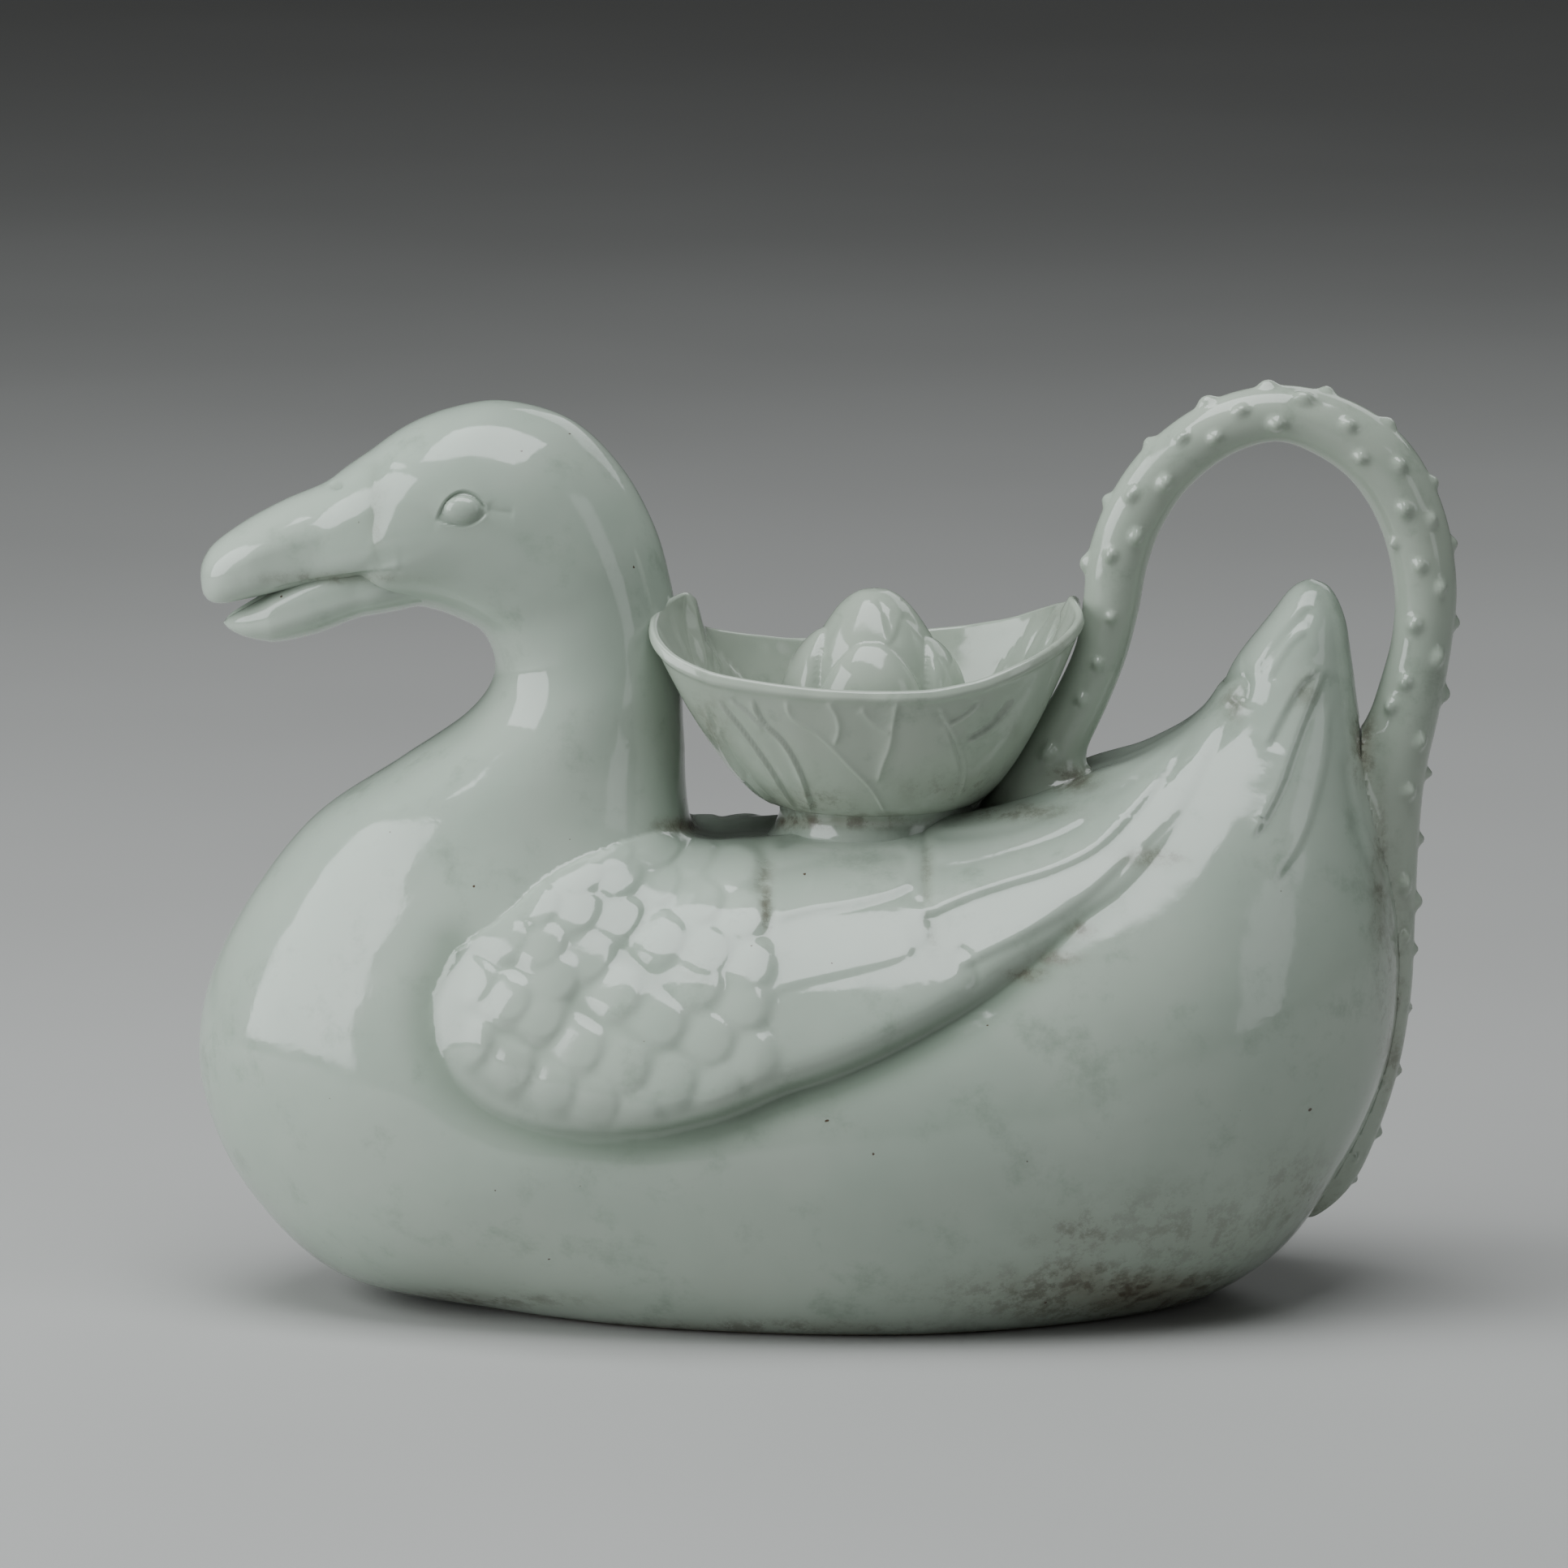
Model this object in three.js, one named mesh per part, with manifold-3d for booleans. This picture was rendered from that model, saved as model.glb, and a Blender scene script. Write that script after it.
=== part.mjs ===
// Porcelain ewer in the form of a swimming duck. Millimetres, +Z up.
// The duck faces -X, the resting plane is z = 0 and the duck is symmetric about y = 0.
// A lotus leaf curled into a cup stands on its back as the filler, a lotus bud stops the filler hole,
// a thorny lotus stem arches over the tail as the handle, and the open bill is the spout.
import * as THREE from "three";
import { mergeVertices } from "three/addons/utils/BufferGeometryUtils.js";
import Module from "manifold-3d";

const wasm = await Module();
wasm.setup();

// Driving dimensions
const LENGTH = 240; // from the tip of the bill to the handle's farthest point
const HEIGHT = 177; // from the resting plane to the top of the handle
const WIDTH = 110; // across the body, without the wings
const STEM_RADIUS = 5.8; // along most of the handle
const BUD_RADIUS = 14.6;
const BUD_HEIGHT = 37.8;
const LUTE_GAP = 0.3; // between two pieces luted to each other
const BODY_WALL = 5;
const BASE_THICKNESS = 5;
const WING_THICKNESS = 2.4;
const WING_MIDLINE = 4; // each wing stops this far from the middle of the back

const NECK_JOINT = 19.6; // station where the neck is luted to the breast
const HEAD_JOINT = 24.2; // station where the head is luted to the neck
const TAIL_JOINT = 4.6; // station where the tail is luted to the body
const CAVITY_START = 2.7; // stations between which the duck is hollow
const CAVITY_END = 30;

const SPOUT_RADIUS = 2.6;
const SPOUT_INSIDE = [-62, 141]; // the bore runs from the hollow head to the open bill
const SPOUT_MOUTH = [-116, 134.2];

const EYE_STATION = 27.55;
const EYE_ACROSS = 0.06; // 1 at the crown, -1 at the throat
const EYE_LENGTH = 8.6;
const EYE_HEIGHT = 6;
const EYE_DEPTH = 4;
const EYE_SLANT = 0.12; // radians, the front corner lower than the back one

const FILLER_X = 8.5; // axis of the filler hole, the leaf cup and the bud
const FILLER_RADIUS = 9;
const BACK_HOLE_MARGIN = 3.5; // the hole in the duck's back is this much wider all round
const PLUG_CLEARANCE = 0.6;
const PLUG_LENGTH = 13;
const CUP_LIFT = 5.5; // the cup's underside above the duck's back
const CUP_WALL = 2.8;
const CUP_FOOT_RADIUS = 19;
const CUP_HALF_WIDTH = 32;
const CUP_NECK_LAP = 3.5; // how far the leaf's front would reach past the nape
const CUP_STEM_LAP = 0.5; // how far its rear would reach into the stem
const CUP_SIDE_HEIGHT = 24.6; // from its underside to the rim at the two long sides
const CUP_FRONT_HEIGHT = 39.5;
const CUP_REAR_HEIGHT = 39;
const CUP_FRONT_SWEEP = 6; // how suddenly the rim climbs to its end
const CUP_REAR_SWEEP = 3.2;
const CUP_SQUARENESS = 2.5; // seen from above, 2 is an oval, larger is squarer
const CUP_FRONT_FULLNESS = 0.5; // the bowl's profile is a power curve, rounder where this is smaller
const CUP_REAR_FULLNESS = 0.63;

const PETAL_COUNT = 6;
const PETAL_THICKNESS = 2.9;
const PETAL_BOTTOM = 3; // heights above the underside of the bud
const PETAL_TOP = 27;
const PETAL_HALF_ANGLE = 0.5; // radians, seen from above
const PETAL_SQUARENESS = 2.8; // 2 is an oval, larger is squarer
const PETAL_TURN = 0.07; // radians, how far the left petal is turned towards the bill

const THORN_COUNT = 48;
const THORN_RADIUS = 1.5;
const THORN_TIP_RADIUS = 0.6;
const THORN_HEIGHT = 1.4;
const THORN_BITE = 0.7; // a thorn's root is set this deep into the stem
const THORN_TURN = 1.25; // radians round the stem from one thorn to the next
const THORN_SPREAD = 1.9; // radians, thorns keep within this of the outer side
const THORN_START = 0.1; // shares of the stem's length
const THORN_END = 0.97;

const SKIN_SIDES = 28;
const SKIN_STEP = 13; // longest way along the duck's outline from one ring of its skin to the next
const CAVITY_SIDES = 20;
const SPOUT_SIDES = 12;
const BILL_SIDES = 14;
const EYE_SIDES = 14;
const EYE_BANDS = 8;
const PETAL_SIDES = 14;
const STEM_SIDES = 10;
const STEM_RINGS = 48;
const CUP_SIDES = 40;
const BUD_SIDES = 28;
const THORN_SIDES = 5;

// The outlines below are drawn for an ewer of this size, and stretch with the main sizes above.
const DRAWN_LENGTH = 240;
const DRAWN_HEIGHT = 177;
const DRAWN_WIDTH = 110;
const DRAWN_STEM_RADIUS = 5.8;

// The duck's outline, station by station from the tip of the tail to the tip of the bill.
// Each station is one closed section: its point on the back line, its point on the belly line
// and its half width.
const STATIONS = [
  { back: [91.5, 140], belly: [91.6, 140], half: 0 },
  { back: [88, 138], belly: [95.5, 138], half: 4 },
  { back: [83.5, 132.2], belly: [98.3, 132.2], half: 8 },
  { back: [77.5, 124.5], belly: [99.7, 124], half: 11.5 },
  { back: [70.4, 114], belly: [101.3, 113], half: 16 },
  { back: [60.6, 107.3], belly: [103.8, 99.5], half: 22 },
  { back: [49, 102.8], belly: [107.6, 82], half: 29 },
  { back: [38, 98], belly: [109.3, 64], half: 36 },
  { back: [28, 94.8], belly: [107, 46], half: 42 },
  { back: [19, 92.8], belly: [99.5, 28], half: 46.5 },
  { back: [10, 91.6], belly: [85, 8.5], half: 50 },
  { back: [1, 91], belly: [62, -3], half: 53 },
  { back: [-8, 90.6], belly: [20, -14], half: 55 },
  { back: [-16, 90.4], belly: [-25, -11.5], half: 54.5 },
  { back: [-21.5, 90.1], belly: [-66, -2], half: 51.5 },
  { back: [-25, 91], belly: [-94.5, 5], half: 47 },
  { back: [-26.6, 93], belly: [-112, 21.5], half: 43 },
  { back: [-27.2, 96], belly: [-120.3, 40], half: 38.5 },
  { back: [-27.5, 99.2], belly: [-120.3, 57], half: 34 },
  { back: [-27.7, 103], belly: [-113.5, 74], half: 29.5 },
  { back: [-27.8, 107.5], belly: [-99.8, 92.5], half: 25 },
  { back: [-28.1, 113], belly: [-82.5, 104.5], half: 21.5 },
  { back: [-28.3, 120], belly: [-69.5, 113.5], half: 19 },
  { back: [-28.8, 129], belly: [-64.2, 121.5], half: 17.5 },
  { back: [-30.5, 139.5], belly: [-66, 129], half: 17.5 },
  { back: [-33.6, 150], belly: [-71.5, 132.5], half: 18.5 },
  { back: [-39.7, 161], belly: [-77, 134.5], half: 19.2 },
  { back: [-49, 170], belly: [-81.5, 137.5], half: 19.3 },
  { back: [-61.5, 173.8], belly: [-85, 140.5], half: 18.5 },
  { back: [-72, 172.5], belly: [-88.5, 140.5], half: 17 },
  { back: [-81, 168.9], belly: [-92, 139.9], half: 15 },
  { back: [-89.5, 162.9], belly: [-96, 139.3], half: 13 },
  { back: [-96, 158.3], belly: [-100, 138.7], half: 11.6 },
  { back: [-104, 154.8], belly: [-105.5, 137.6], half: 11 },
  { back: [-111.4, 150.8], belly: [-111, 136.4], half: 10.5 },
  { back: [-117.4, 146.5], belly: [-116.3, 135.3], half: 8.5 },
  { back: [-119.8, 143], belly: [-119.3, 136.4], half: 5 },
  { back: [-120.3, 140], belly: [-120.3, 139.9], half: 0 },
];

// The lower half of the bill, from its tip backwards: x, its upper edge, its lower edge, half width.
const LOWER_BILL = [
  { x: -115.9, top: 131.1, bottom: 131, half: 0 },
  { x: -114.5, top: 132.6, bottom: 129.8, half: 3.6 },
  { x: -111.5, top: 134.4, bottom: 128.5, half: 6.6 },
  { x: -108, top: 136.4, bottom: 127.8, half: 8.6 },
  { x: -105, top: 138.4, bottom: 127.7, half: 9.7 },
  { x: -98, top: 142, bottom: 129.3, half: 11 },
  { x: -90, top: 144, bottom: 132.4, half: 12.2 },
  { x: -83, top: 144, bottom: 133.6, half: 12.6 },
  { x: -76, top: 144, bottom: 134.4, half: 11.6 },
];

// The wing's edge seen from the side, from the shoulder round the lower edge to the tip at the tail.
const WING_EDGE = [
  [-42, 91.7],
  [-52.8, 87.7],
  [-62.2, 80.5],
  [-70.6, 74.2],
  [-74.8, 68],
  [-75.8, 62.5],
  [-74.6, 56.6],
  [-71, 50.5],
  [-65, 46],
  [-58.4, 43.1],
  [-52, 41.8],
  [-45.6, 41.4],
  [-39.4, 41.7],
  [-32, 42.8],
  [-25.7, 44.4],
  [-14.4, 48.2],
  [-1, 52.8],
  [11.9, 57.4],
  [22, 62.5],
  [30, 66.8],
  [37.1, 71.1],
  [43, 76],
  [48.7, 80.7],
  [54.7, 84.7],
  [59.4, 88.3],
  [63.4, 93],
  [66.4, 96.8],
  [69.8, 102.2],
  [73.6, 109.8],
  [76.6, 115.5],
  [78.4, 119],
  [70, 120],
];
const WING_FRONT = [-22, 93.5]; // where the wing's upper edge meets the root of the neck
const WING_REAR_TOP_X = 60; // behind this the wing's top is its own edge

// The bud's profile: shares of its radius and of its height above its underside.
const BUD_PROFILE = [
  [0, 0],
  [0.753, 0],
  [0.877, 0.106],
  [0.973, 0.265],
  [1, 0.45],
  [0.959, 0.608],
  [0.877, 0.741],
  [0.712, 0.852],
  [0.479, 0.944],
  [0.24, 0.989],
  [0, 1],
].map(([r, z]) => [r * BUD_RADIUS, z * BUD_HEIGHT]);

// The ring of clay under the cup: radius and height below the cup's underside.
const FOOT_OUTSIDE = [
  [CUP_FOOT_RADIUS, 0],
  [CUP_FOOT_RADIUS - 0.4, 2.5],
  [CUP_FOOT_RADIUS + 1, 5],
  [CUP_FOOT_RADIUS + 1.6, 18],
];

// The stem that is the handle, from its root behind the leaf cup to its end low on the rump.
const STEM = [
  { at: [36.5, 88], r: 9.6 },
  { at: [38.6, 96.5], r: 8.4 },
  { at: [40.9, 102], r: 6.8 },
  { at: [43.8, 108.5], r: 5.6 },
  { at: [48.4, 117.5], r: 5.1 },
  { at: [51.8, 126], r: 5 },
  { at: [53.6, 134.5], r: 5.4 },
  { at: [55, 144], r: 5.8 },
  { at: [58.4, 153], r: 5.8 },
  { at: [64.6, 161.8], r: 5.7 },
  { at: [74.4, 169], r: 5.5 },
  { at: [85.6, 171.7], r: 5.4 },
  { at: [96.4, 168.6], r: 6.1 },
  { at: [105.1, 162], r: 6.5 },
  { at: [110.9, 151.5], r: 6.3 },
  { at: [113.5, 139], r: 6 },
  { at: [112.9, 127.5], r: 5.8 },
  { at: [110.2, 115], r: 6.3 },
  { at: [107.4, 103], r: 6.6 },
  { at: [107.2, 90], r: 5.6 },
  { at: [107.6, 75], r: 4.6 },
  { at: [107, 60], r: 4.6 },
  { at: [104.6, 46], r: 4.8 },
  { at: [101, 34], r: 4.7 },
  { at: [96.7, 24], r: 4.5 },
  { at: [91.6, 15.5], r: 3.6 },
];

const GLAZE = new THREE.MeshStandardMaterial({ color: 0xd3d9d3, roughness: 0.12, metalness: 0 });
const LEAF_GLAZE = new THREE.MeshStandardMaterial({ color: 0xcfd6cf, roughness: 0.14, metalness: 0 });
const BARE_CLAY = new THREE.MeshStandardMaterial({ color: 0xcfc8ba, roughness: 0.85, metalness: 0 });

const UP = new THREE.Vector3(0, 0, 1);
const DOWN = new THREE.Vector3(0, 0, -1);
const ACROSS = new THREE.Vector3(0, 1, 0);
const REACH = 400; // larger than the ewer, for cutting with a plane

// Closed meshes and solids

// Turns a closed geometry into a solid that can be joined and cut.
function solid(geometry) {
  const bare = geometry.clone();
  for (const name of Object.keys(bare.attributes)) {
    if (name !== "position") bare.deleteAttribute(name);
  }
  const merged = mergeVertices(bare, 1e-4);
  return new wasm.Manifold(
    new wasm.Mesh({
      numProp: 3,
      vertProperties: merged.attributes.position.array,
      triVerts: new Uint32Array(merged.index.array),
    }),
  );
}

// Turns a solid back into a geometry with flat-shaded normals.
function geometryOf(shape) {
  const mesh = shape.getMesh();
  const positions = new Float32Array(mesh.numVert * 3);
  for (let i = 0; i < mesh.numVert; i++) {
    for (let axis = 0; axis < 3; axis++) {
      positions[i * 3 + axis] = mesh.vertProperties[i * mesh.numProp + axis];
    }
  }
  const geometry = new THREE.BufferGeometry();
  geometry.setAttribute("position", new THREE.BufferAttribute(positions, 3));
  geometry.setIndex(new THREE.BufferAttribute(mesh.triVerts, 1));
  const faceted = geometry.toNonIndexed();
  faceted.computeVertexNormals();
  return faceted;
}

function indexed(points, faces) {
  const geometry = new THREE.BufferGeometry();
  const coordinates = points.flatMap((point) => point.toArray());
  geometry.setAttribute("position", new THREE.Float32BufferAttribute(coordinates, 3));
  geometry.setIndex(faces);
  return geometry;
}

// Joins rings of points, each with as many points, into one closed skin with a pole at each end.
function skinOf(rings, startPole, endPole) {
  const sides = rings[0].length;
  const points = [startPole, ...rings.flat(), endPole];
  const last = points.length - 1;
  const at = (ring, side) => 1 + ring * sides + (side % sides);
  const faces = [];
  for (let side = 0; side < sides; side++) {
    faces.push(0, at(0, side + 1), at(0, side));
    for (let ring = 0; ring + 1 < rings.length; ring++) {
      faces.push(at(ring, side), at(ring, side + 1), at(ring + 1, side));
      faces.push(at(ring, side + 1), at(ring + 1, side + 1), at(ring + 1, side));
    }
    faces.push(at(rings.length - 1, side), at(rings.length - 1, side + 1), last);
  }
  return indexed(points, faces);
}

// Joins rings of points that close on themselves, such as the sections round a bowl.
function hoopOf(rings) {
  const sides = rings[0].length;
  const at = (ring, side) => (ring % rings.length) * sides + (side % sides);
  const faces = [];
  for (let ring = 0; ring < rings.length; ring++) {
    for (let side = 0; side < sides; side++) {
      faces.push(at(ring, side), at(ring, side + 1), at(ring + 1, side));
      faces.push(at(ring, side + 1), at(ring + 1, side + 1), at(ring + 1, side));
    }
  }
  return indexed(rings.flat(), faces);
}

function cylinder(radius, from, to, sides = BUD_SIDES) {
  const along = new THREE.Vector3().subVectors(to, from);
  const geometry = new THREE.CylinderGeometry(radius, radius, along.length(), sides);
  geometry.applyQuaternion(new THREE.Quaternion().setFromUnitVectors(ACROSS, along.clone().normalize()));
  geometry.translate(...new THREE.Vector3().addVectors(from, to).multiplyScalar(0.5).toArray());
  return solid(geometry);
}

// A drawn place seen from the side, stretched to the ewer's size.
function stretched([x, z]) {
  return new THREE.Vector2((x * LENGTH) / DRAWN_LENGTH, (z * HEIGHT) / DRAWN_HEIGHT);
}

// The same place as a point on the plane of symmetry.
function onPlane(place) {
  const { x, y } = stretched(place);
  return new THREE.Vector3(x, 0, y);
}

function stretchedWidth(half) {
  return (half * WIDTH) / DRAWN_WIDTH;
}

// The smooth line through equally spaced stations.
function lineThrough(points) {
  const curve = new THREE.CatmullRomCurve3(points, false, "catmullrom", 0.5);
  return (station) => curve.getPoint(station / (points.length - 1));
}

// The duck's skin

const LAST_STATION = STATIONS.length - 1;
const backLine = lineThrough(STATIONS.map((s) => onPlane(s.back)));
const bellyLine = lineThrough(STATIONS.map((s) => onPlane(s.belly)));
const halfWidth = lineThrough(STATIONS.map((s) => new THREE.Vector3(stretchedWidth(s.half), 0, 0)));

// The section at a station: its middle, the half axis towards the back line, and its half width,
// all moved outwards by grow.
function sectionAt(station, grow) {
  const back = backLine(station);
  const belly = bellyLine(station);
  const middle = back.clone().add(belly).multiplyScalar(0.5);
  const towardsBack = back.sub(belly).multiplyScalar(0.5);
  const half = towardsBack.length();
  towardsBack.setLength(Math.max(half + grow, 0));
  return { middle, towardsBack, half: Math.max(halfWidth(station).x + grow, 0) };
}

// A point of the skin: across is 1 on the back line and -1 on the belly line, side is 1 or -1 in y.
function skinPoint(station, across, side) {
  const section = sectionAt(station, 0);
  const point = section.middle.clone().addScaledVector(section.towardsBack, across);
  point.y = side * section.half * Math.sqrt(1 - across * across);
  return point;
}

function skinRing(station, grow, sides) {
  const section = sectionAt(station, grow);
  const ring = [];
  for (let i = 0; i < sides; i++) {
    const angle = (2 * Math.PI * i) / sides;
    const point = section.middle.clone().addScaledVector(section.towardsBack, Math.cos(angle));
    point.y = section.half * Math.sin(angle);
    ring.push(point);
  }
  return ring;
}

// The hollow: the same form moved inwards by the wall, between two stations.
function hollow(from, to) {
  const rings = [];
  const steps = Math.round(to - from);
  for (let i = 0; i <= steps; i++) {
    rings.push(skinRing(from + ((to - from) * i) / steps, -BODY_WALL, CAVITY_SIDES));
  }
  return solid(skinOf(rings, sectionAt(from, -BODY_WALL).middle, sectionAt(to, -BODY_WALL).middle));
}

// The whole duck moved outwards by grow, with its two round tips carried out as well.
function duck(grow) {
  const tip = 0.35; // stations from a tip to the ring that rounds it
  const rings = [skinRing(tip, grow, SKIN_SIDES)];
  for (let station = 1; station < LAST_STATION; station++) {
    const onBack = backLine(station).distanceTo(backLine(station + 1));
    const onBelly = bellyLine(station).distanceTo(bellyLine(station + 1));
    const parts = Math.max(onBack, onBelly) > SKIN_STEP ? 2 : 1;
    for (let part = 0; part < parts; part++) rings.push(skinRing(station + part / parts, grow, SKIN_SIDES));
  }
  rings.push(skinRing(LAST_STATION - tip, grow, SKIN_SIDES));
  const tail = backLine(0);
  tail.z += grow;
  const bill = backLine(LAST_STATION);
  bill.x -= grow;
  return solid(skinOf(rings, tail, bill));
}

// Everything on one side of a plane through a point, where towards is the plane's normal.
function halfSpace(point, towards) {
  const geometry = new THREE.BoxGeometry(REACH, REACH, REACH);
  geometry.translate(0, 0, REACH / 2);
  const turn = new THREE.Quaternion().setFromUnitVectors(UP, towards.clone().normalize());
  geometry.applyQuaternion(turn);
  geometry.translate(point.x, point.y, point.z);
  return solid(geometry);
}

// The two sides of the joint in a station's plane, with the lute gap between them.
function jointSides(station) {
  const { middle, towardsBack } = sectionAt(station, 0);
  const towardsBill = towardsBack.clone().cross(ACROSS).normalize();
  const half = towardsBill.clone().multiplyScalar(LUTE_GAP / 2);
  return {
    before: halfSpace(middle.clone().sub(half), towardsBill.clone().negate()),
    after: halfSpace(middle.clone().add(half), towardsBill),
  };
}

// Steps along a line from a station to the first one where its point is far enough.
function firstStation(from, step, isThere) {
  let station = from;
  while (!isThere(station)) station += step;
  return station;
}

// The cup stands on the back, over the filler hole.
const fillerX = stretched([FILLER_X, 0]).x;
const backStation = firstStation(LAST_STATION / 3, -0.02, (station) => backLine(station).x >= fillerX);
const cupUnderside = backLine(backStation).z + CUP_LIFT;
const fillerAxis = (z) => new THREE.Vector3(fillerX, 0, z);

const cavityFloor = fillerAxis(BASE_THICKNESS + BODY_WALL);
const backHole = cylinder(FILLER_RADIUS + BACK_HOLE_MARGIN, cavityFloor, fillerAxis(cupUnderside));
const spout = cylinder(SPOUT_RADIUS, onPlane(SPOUT_INSIDE), onPlane(SPOUT_MOUTH), SPOUT_SIDES);

const outer = duck(0);
const clearOfDuck = duck(LUTE_GAP);
const aboveFloor = halfSpace(new THREE.Vector3(0, 0, BASE_THICKNESS), UP);
const cavity = hollow(CAVITY_START, CAVITY_END).intersect(aboveFloor);
const standing = outer.intersect(halfSpace(new THREE.Vector3(), UP));
const shell = standing.subtract(cavity).subtract(backHole).subtract(spout);

// A joint's plane also cuts the duck's other end, so front and rear are cut apart first.
const front = halfSpace(sectionAt(LAST_STATION / 3, 0).middle, new THREE.Vector3(-1, 0, 0));
const frontShell = shell.intersect(front);
const rearShell = shell.subtract(front);
const tailJoint = jointSides(TAIL_JOINT);
const neckJoint = jointSides(NECK_JOINT);
const headJoint = jointSides(HEAD_JOINT);
const trunk = rearShell.intersect(tailJoint.after).add(frontShell.intersect(neckJoint.before));

const baseSlab = shell.intersect(halfSpace(new THREE.Vector3(0, 0, BASE_THICKNESS), DOWN));

// The moulded halves of the body, from the tail joint to the neck joint.
function bodyHalf(side) {
  return trunk
    .intersect(halfSpace(new THREE.Vector3(0, 0, BASE_THICKNESS + LUTE_GAP), UP))
    .intersect(halfSpace(new THREE.Vector3(0, (side * LUTE_GAP) / 2, 0), new THREE.Vector3(0, side, 0)));
}

const neck = frontShell.intersect(neckJoint.after).intersect(headJoint.before);
const head = frontShell.intersect(neckJoint.after).intersect(headJoint.after);
const tail = rearShell.intersect(tailJoint.before);

function lowerBill() {
  const middle = (s) => onPlane([s.x, (s.top + s.bottom) / 2]);
  const rings = LOWER_BILL.slice(1).map((s) => {
    const upwards = onPlane([s.x, s.top]).sub(middle(s));
    const across = stretchedWidth(s.half);
    const ring = [];
    for (let i = 0; i < BILL_SIDES; i++) {
      const angle = (2 * Math.PI * i) / BILL_SIDES;
      const point = middle(s).addScaledVector(upwards, Math.cos(angle));
      ring.push(point.addScaledVector(ACROSS, -across * Math.sin(angle)));
    }
    return ring;
  });
  const geometry = skinOf(rings, middle(LOWER_BILL[0]), middle(LOWER_BILL[LOWER_BILL.length - 1]));
  return solid(geometry).subtract(clearOfDuck).subtract(spout);
}

function eye(side) {
  const geometry = new THREE.SphereGeometry(0.5, EYE_SIDES, EYE_BANDS);
  geometry.scale(EYE_LENGTH, EYE_DEPTH, EYE_HEIGHT);
  geometry.rotateY(-EYE_SLANT);
  const centre = skinPoint(EYE_STATION, EYE_ACROSS, side);
  geometry.translate(...centre.toArray());
  return solid(geometry).subtract(clearOfDuck);
}

// The lotus stem

const stemLine = new THREE.CatmullRomCurve3(
  STEM.map((s) => onPlane(s.at)),
  false,
  "catmullrom",
  0.5,
);
const stemScale = STEM_RADIUS / DRAWN_STEM_RADIUS;
const stemRadius = lineThrough(STEM.map((s) => new THREE.Vector3(s.r * stemScale, 0, 0)));

// A point of the stem's surface: share runs from root to end, angle is 0 on the outer side.
function stemFrame(share) {
  const centre = stemLine.getPoint(share);
  const outwards = stemLine.getTangent(share).cross(ACROSS).negate().normalize();
  return { centre, outwards, radius: stemRadius(share * (STEM.length - 1)).x };
}

function stemDirection(frame, angle) {
  return frame.outwards.clone().multiplyScalar(Math.cos(angle)).addScaledVector(ACROSS, Math.sin(angle));
}

function stem(grow) {
  const rings = [];
  for (let i = 0; i <= STEM_RINGS; i++) {
    const frame = stemFrame(i / STEM_RINGS);
    const ring = [];
    for (let side = 0; side < STEM_SIDES; side++) {
      const direction = stemDirection(frame, (2 * Math.PI * side) / STEM_SIDES);
      ring.push(frame.centre.clone().addScaledVector(direction, frame.radius + grow));
    }
    rings.push(ring);
  }
  return solid(skinOf(rings, stemLine.getPoint(0), stemLine.getPoint(1)));
}

const stemClearance = stem(LUTE_GAP);

function thorn(index) {
  const share = THORN_START + ((THORN_END - THORN_START) * index) / (THORN_COUNT - 1);
  const angle = THORN_SPREAD * Math.sin(index * THORN_TURN);
  const frame = stemFrame(share);
  const direction = stemDirection(frame, angle);
  const height = THORN_HEIGHT + THORN_BITE;
  const geometry = new THREE.CylinderGeometry(THORN_TIP_RADIUS, THORN_RADIUS, height, THORN_SIDES);
  geometry.translate(0, height / 2 - THORN_BITE, 0);
  geometry.applyQuaternion(new THREE.Quaternion().setFromUnitVectors(ACROSS, direction));
  const root = frame.centre.clone().addScaledVector(direction, frame.radius);
  geometry.translate(root.x, root.y, root.z);
  return solid(geometry);
}

function handle() {
  let shape = stem(0);
  for (let i = 0; i < THORN_COUNT; i++) shape = shape.add(thorn(i));
  return shape.subtract(clearOfDuck);
}

// The leaf cup and the ring under it

// The leaf's rim reaches from the nape to the stem.
const frontRimZ = cupUnderside + (CUP_SIDE_HEIGHT + CUP_FRONT_HEIGHT) / 2;
const nape = firstStation(LAST_STATION / 2, 0.02, (station) => backLine(station).z >= frontRimZ);
const cupFrontReach = fillerX - backLine(nape).x + CUP_NECK_LAP;
const rearRimZ = cupUnderside + CUP_REAR_HEIGHT;
const rimFrame = stemFrame(firstStation(0, 0.001, (share) => stemLine.getPoint(share).z >= rearRimZ));
const cupRearReach = rimFrame.centre.x - rimFrame.radius - fillerX + CUP_STEM_LAP;

// The cup's outer profile at an angle round the filler axis, which is 0 towards the tail.
// Share runs from 0 at the foot to 1 at the rim.
function cupProfile(angle, share) {
  const along = Math.cos(angle);
  const across = Math.sin(angle);
  const isFront = along < 0;
  const lengthwise = Math.abs(along) / (isFront ? cupFrontReach : cupRearReach);
  const crosswise = Math.abs(across) / CUP_HALF_WIDTH;
  const reach = (lengthwise ** CUP_SQUARENESS + crosswise ** CUP_SQUARENESS) ** (-1 / CUP_SQUARENESS);
  const climb = (isFront ? CUP_FRONT_HEIGHT : CUP_REAR_HEIGHT) - CUP_SIDE_HEIGHT;
  const height = CUP_SIDE_HEIGHT + climb * Math.abs(along) ** (isFront ? CUP_FRONT_SWEEP : CUP_REAR_SWEEP);
  const fullness = THREE.MathUtils.lerp(CUP_FRONT_FULLNESS, CUP_REAR_FULLNESS, (along + 1) / 2);
  return new THREE.Vector2(
    CUP_FOOT_RADIUS + (reach - CUP_FOOT_RADIUS) * share ** fullness,
    cupUnderside + height * share,
  );
}

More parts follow.
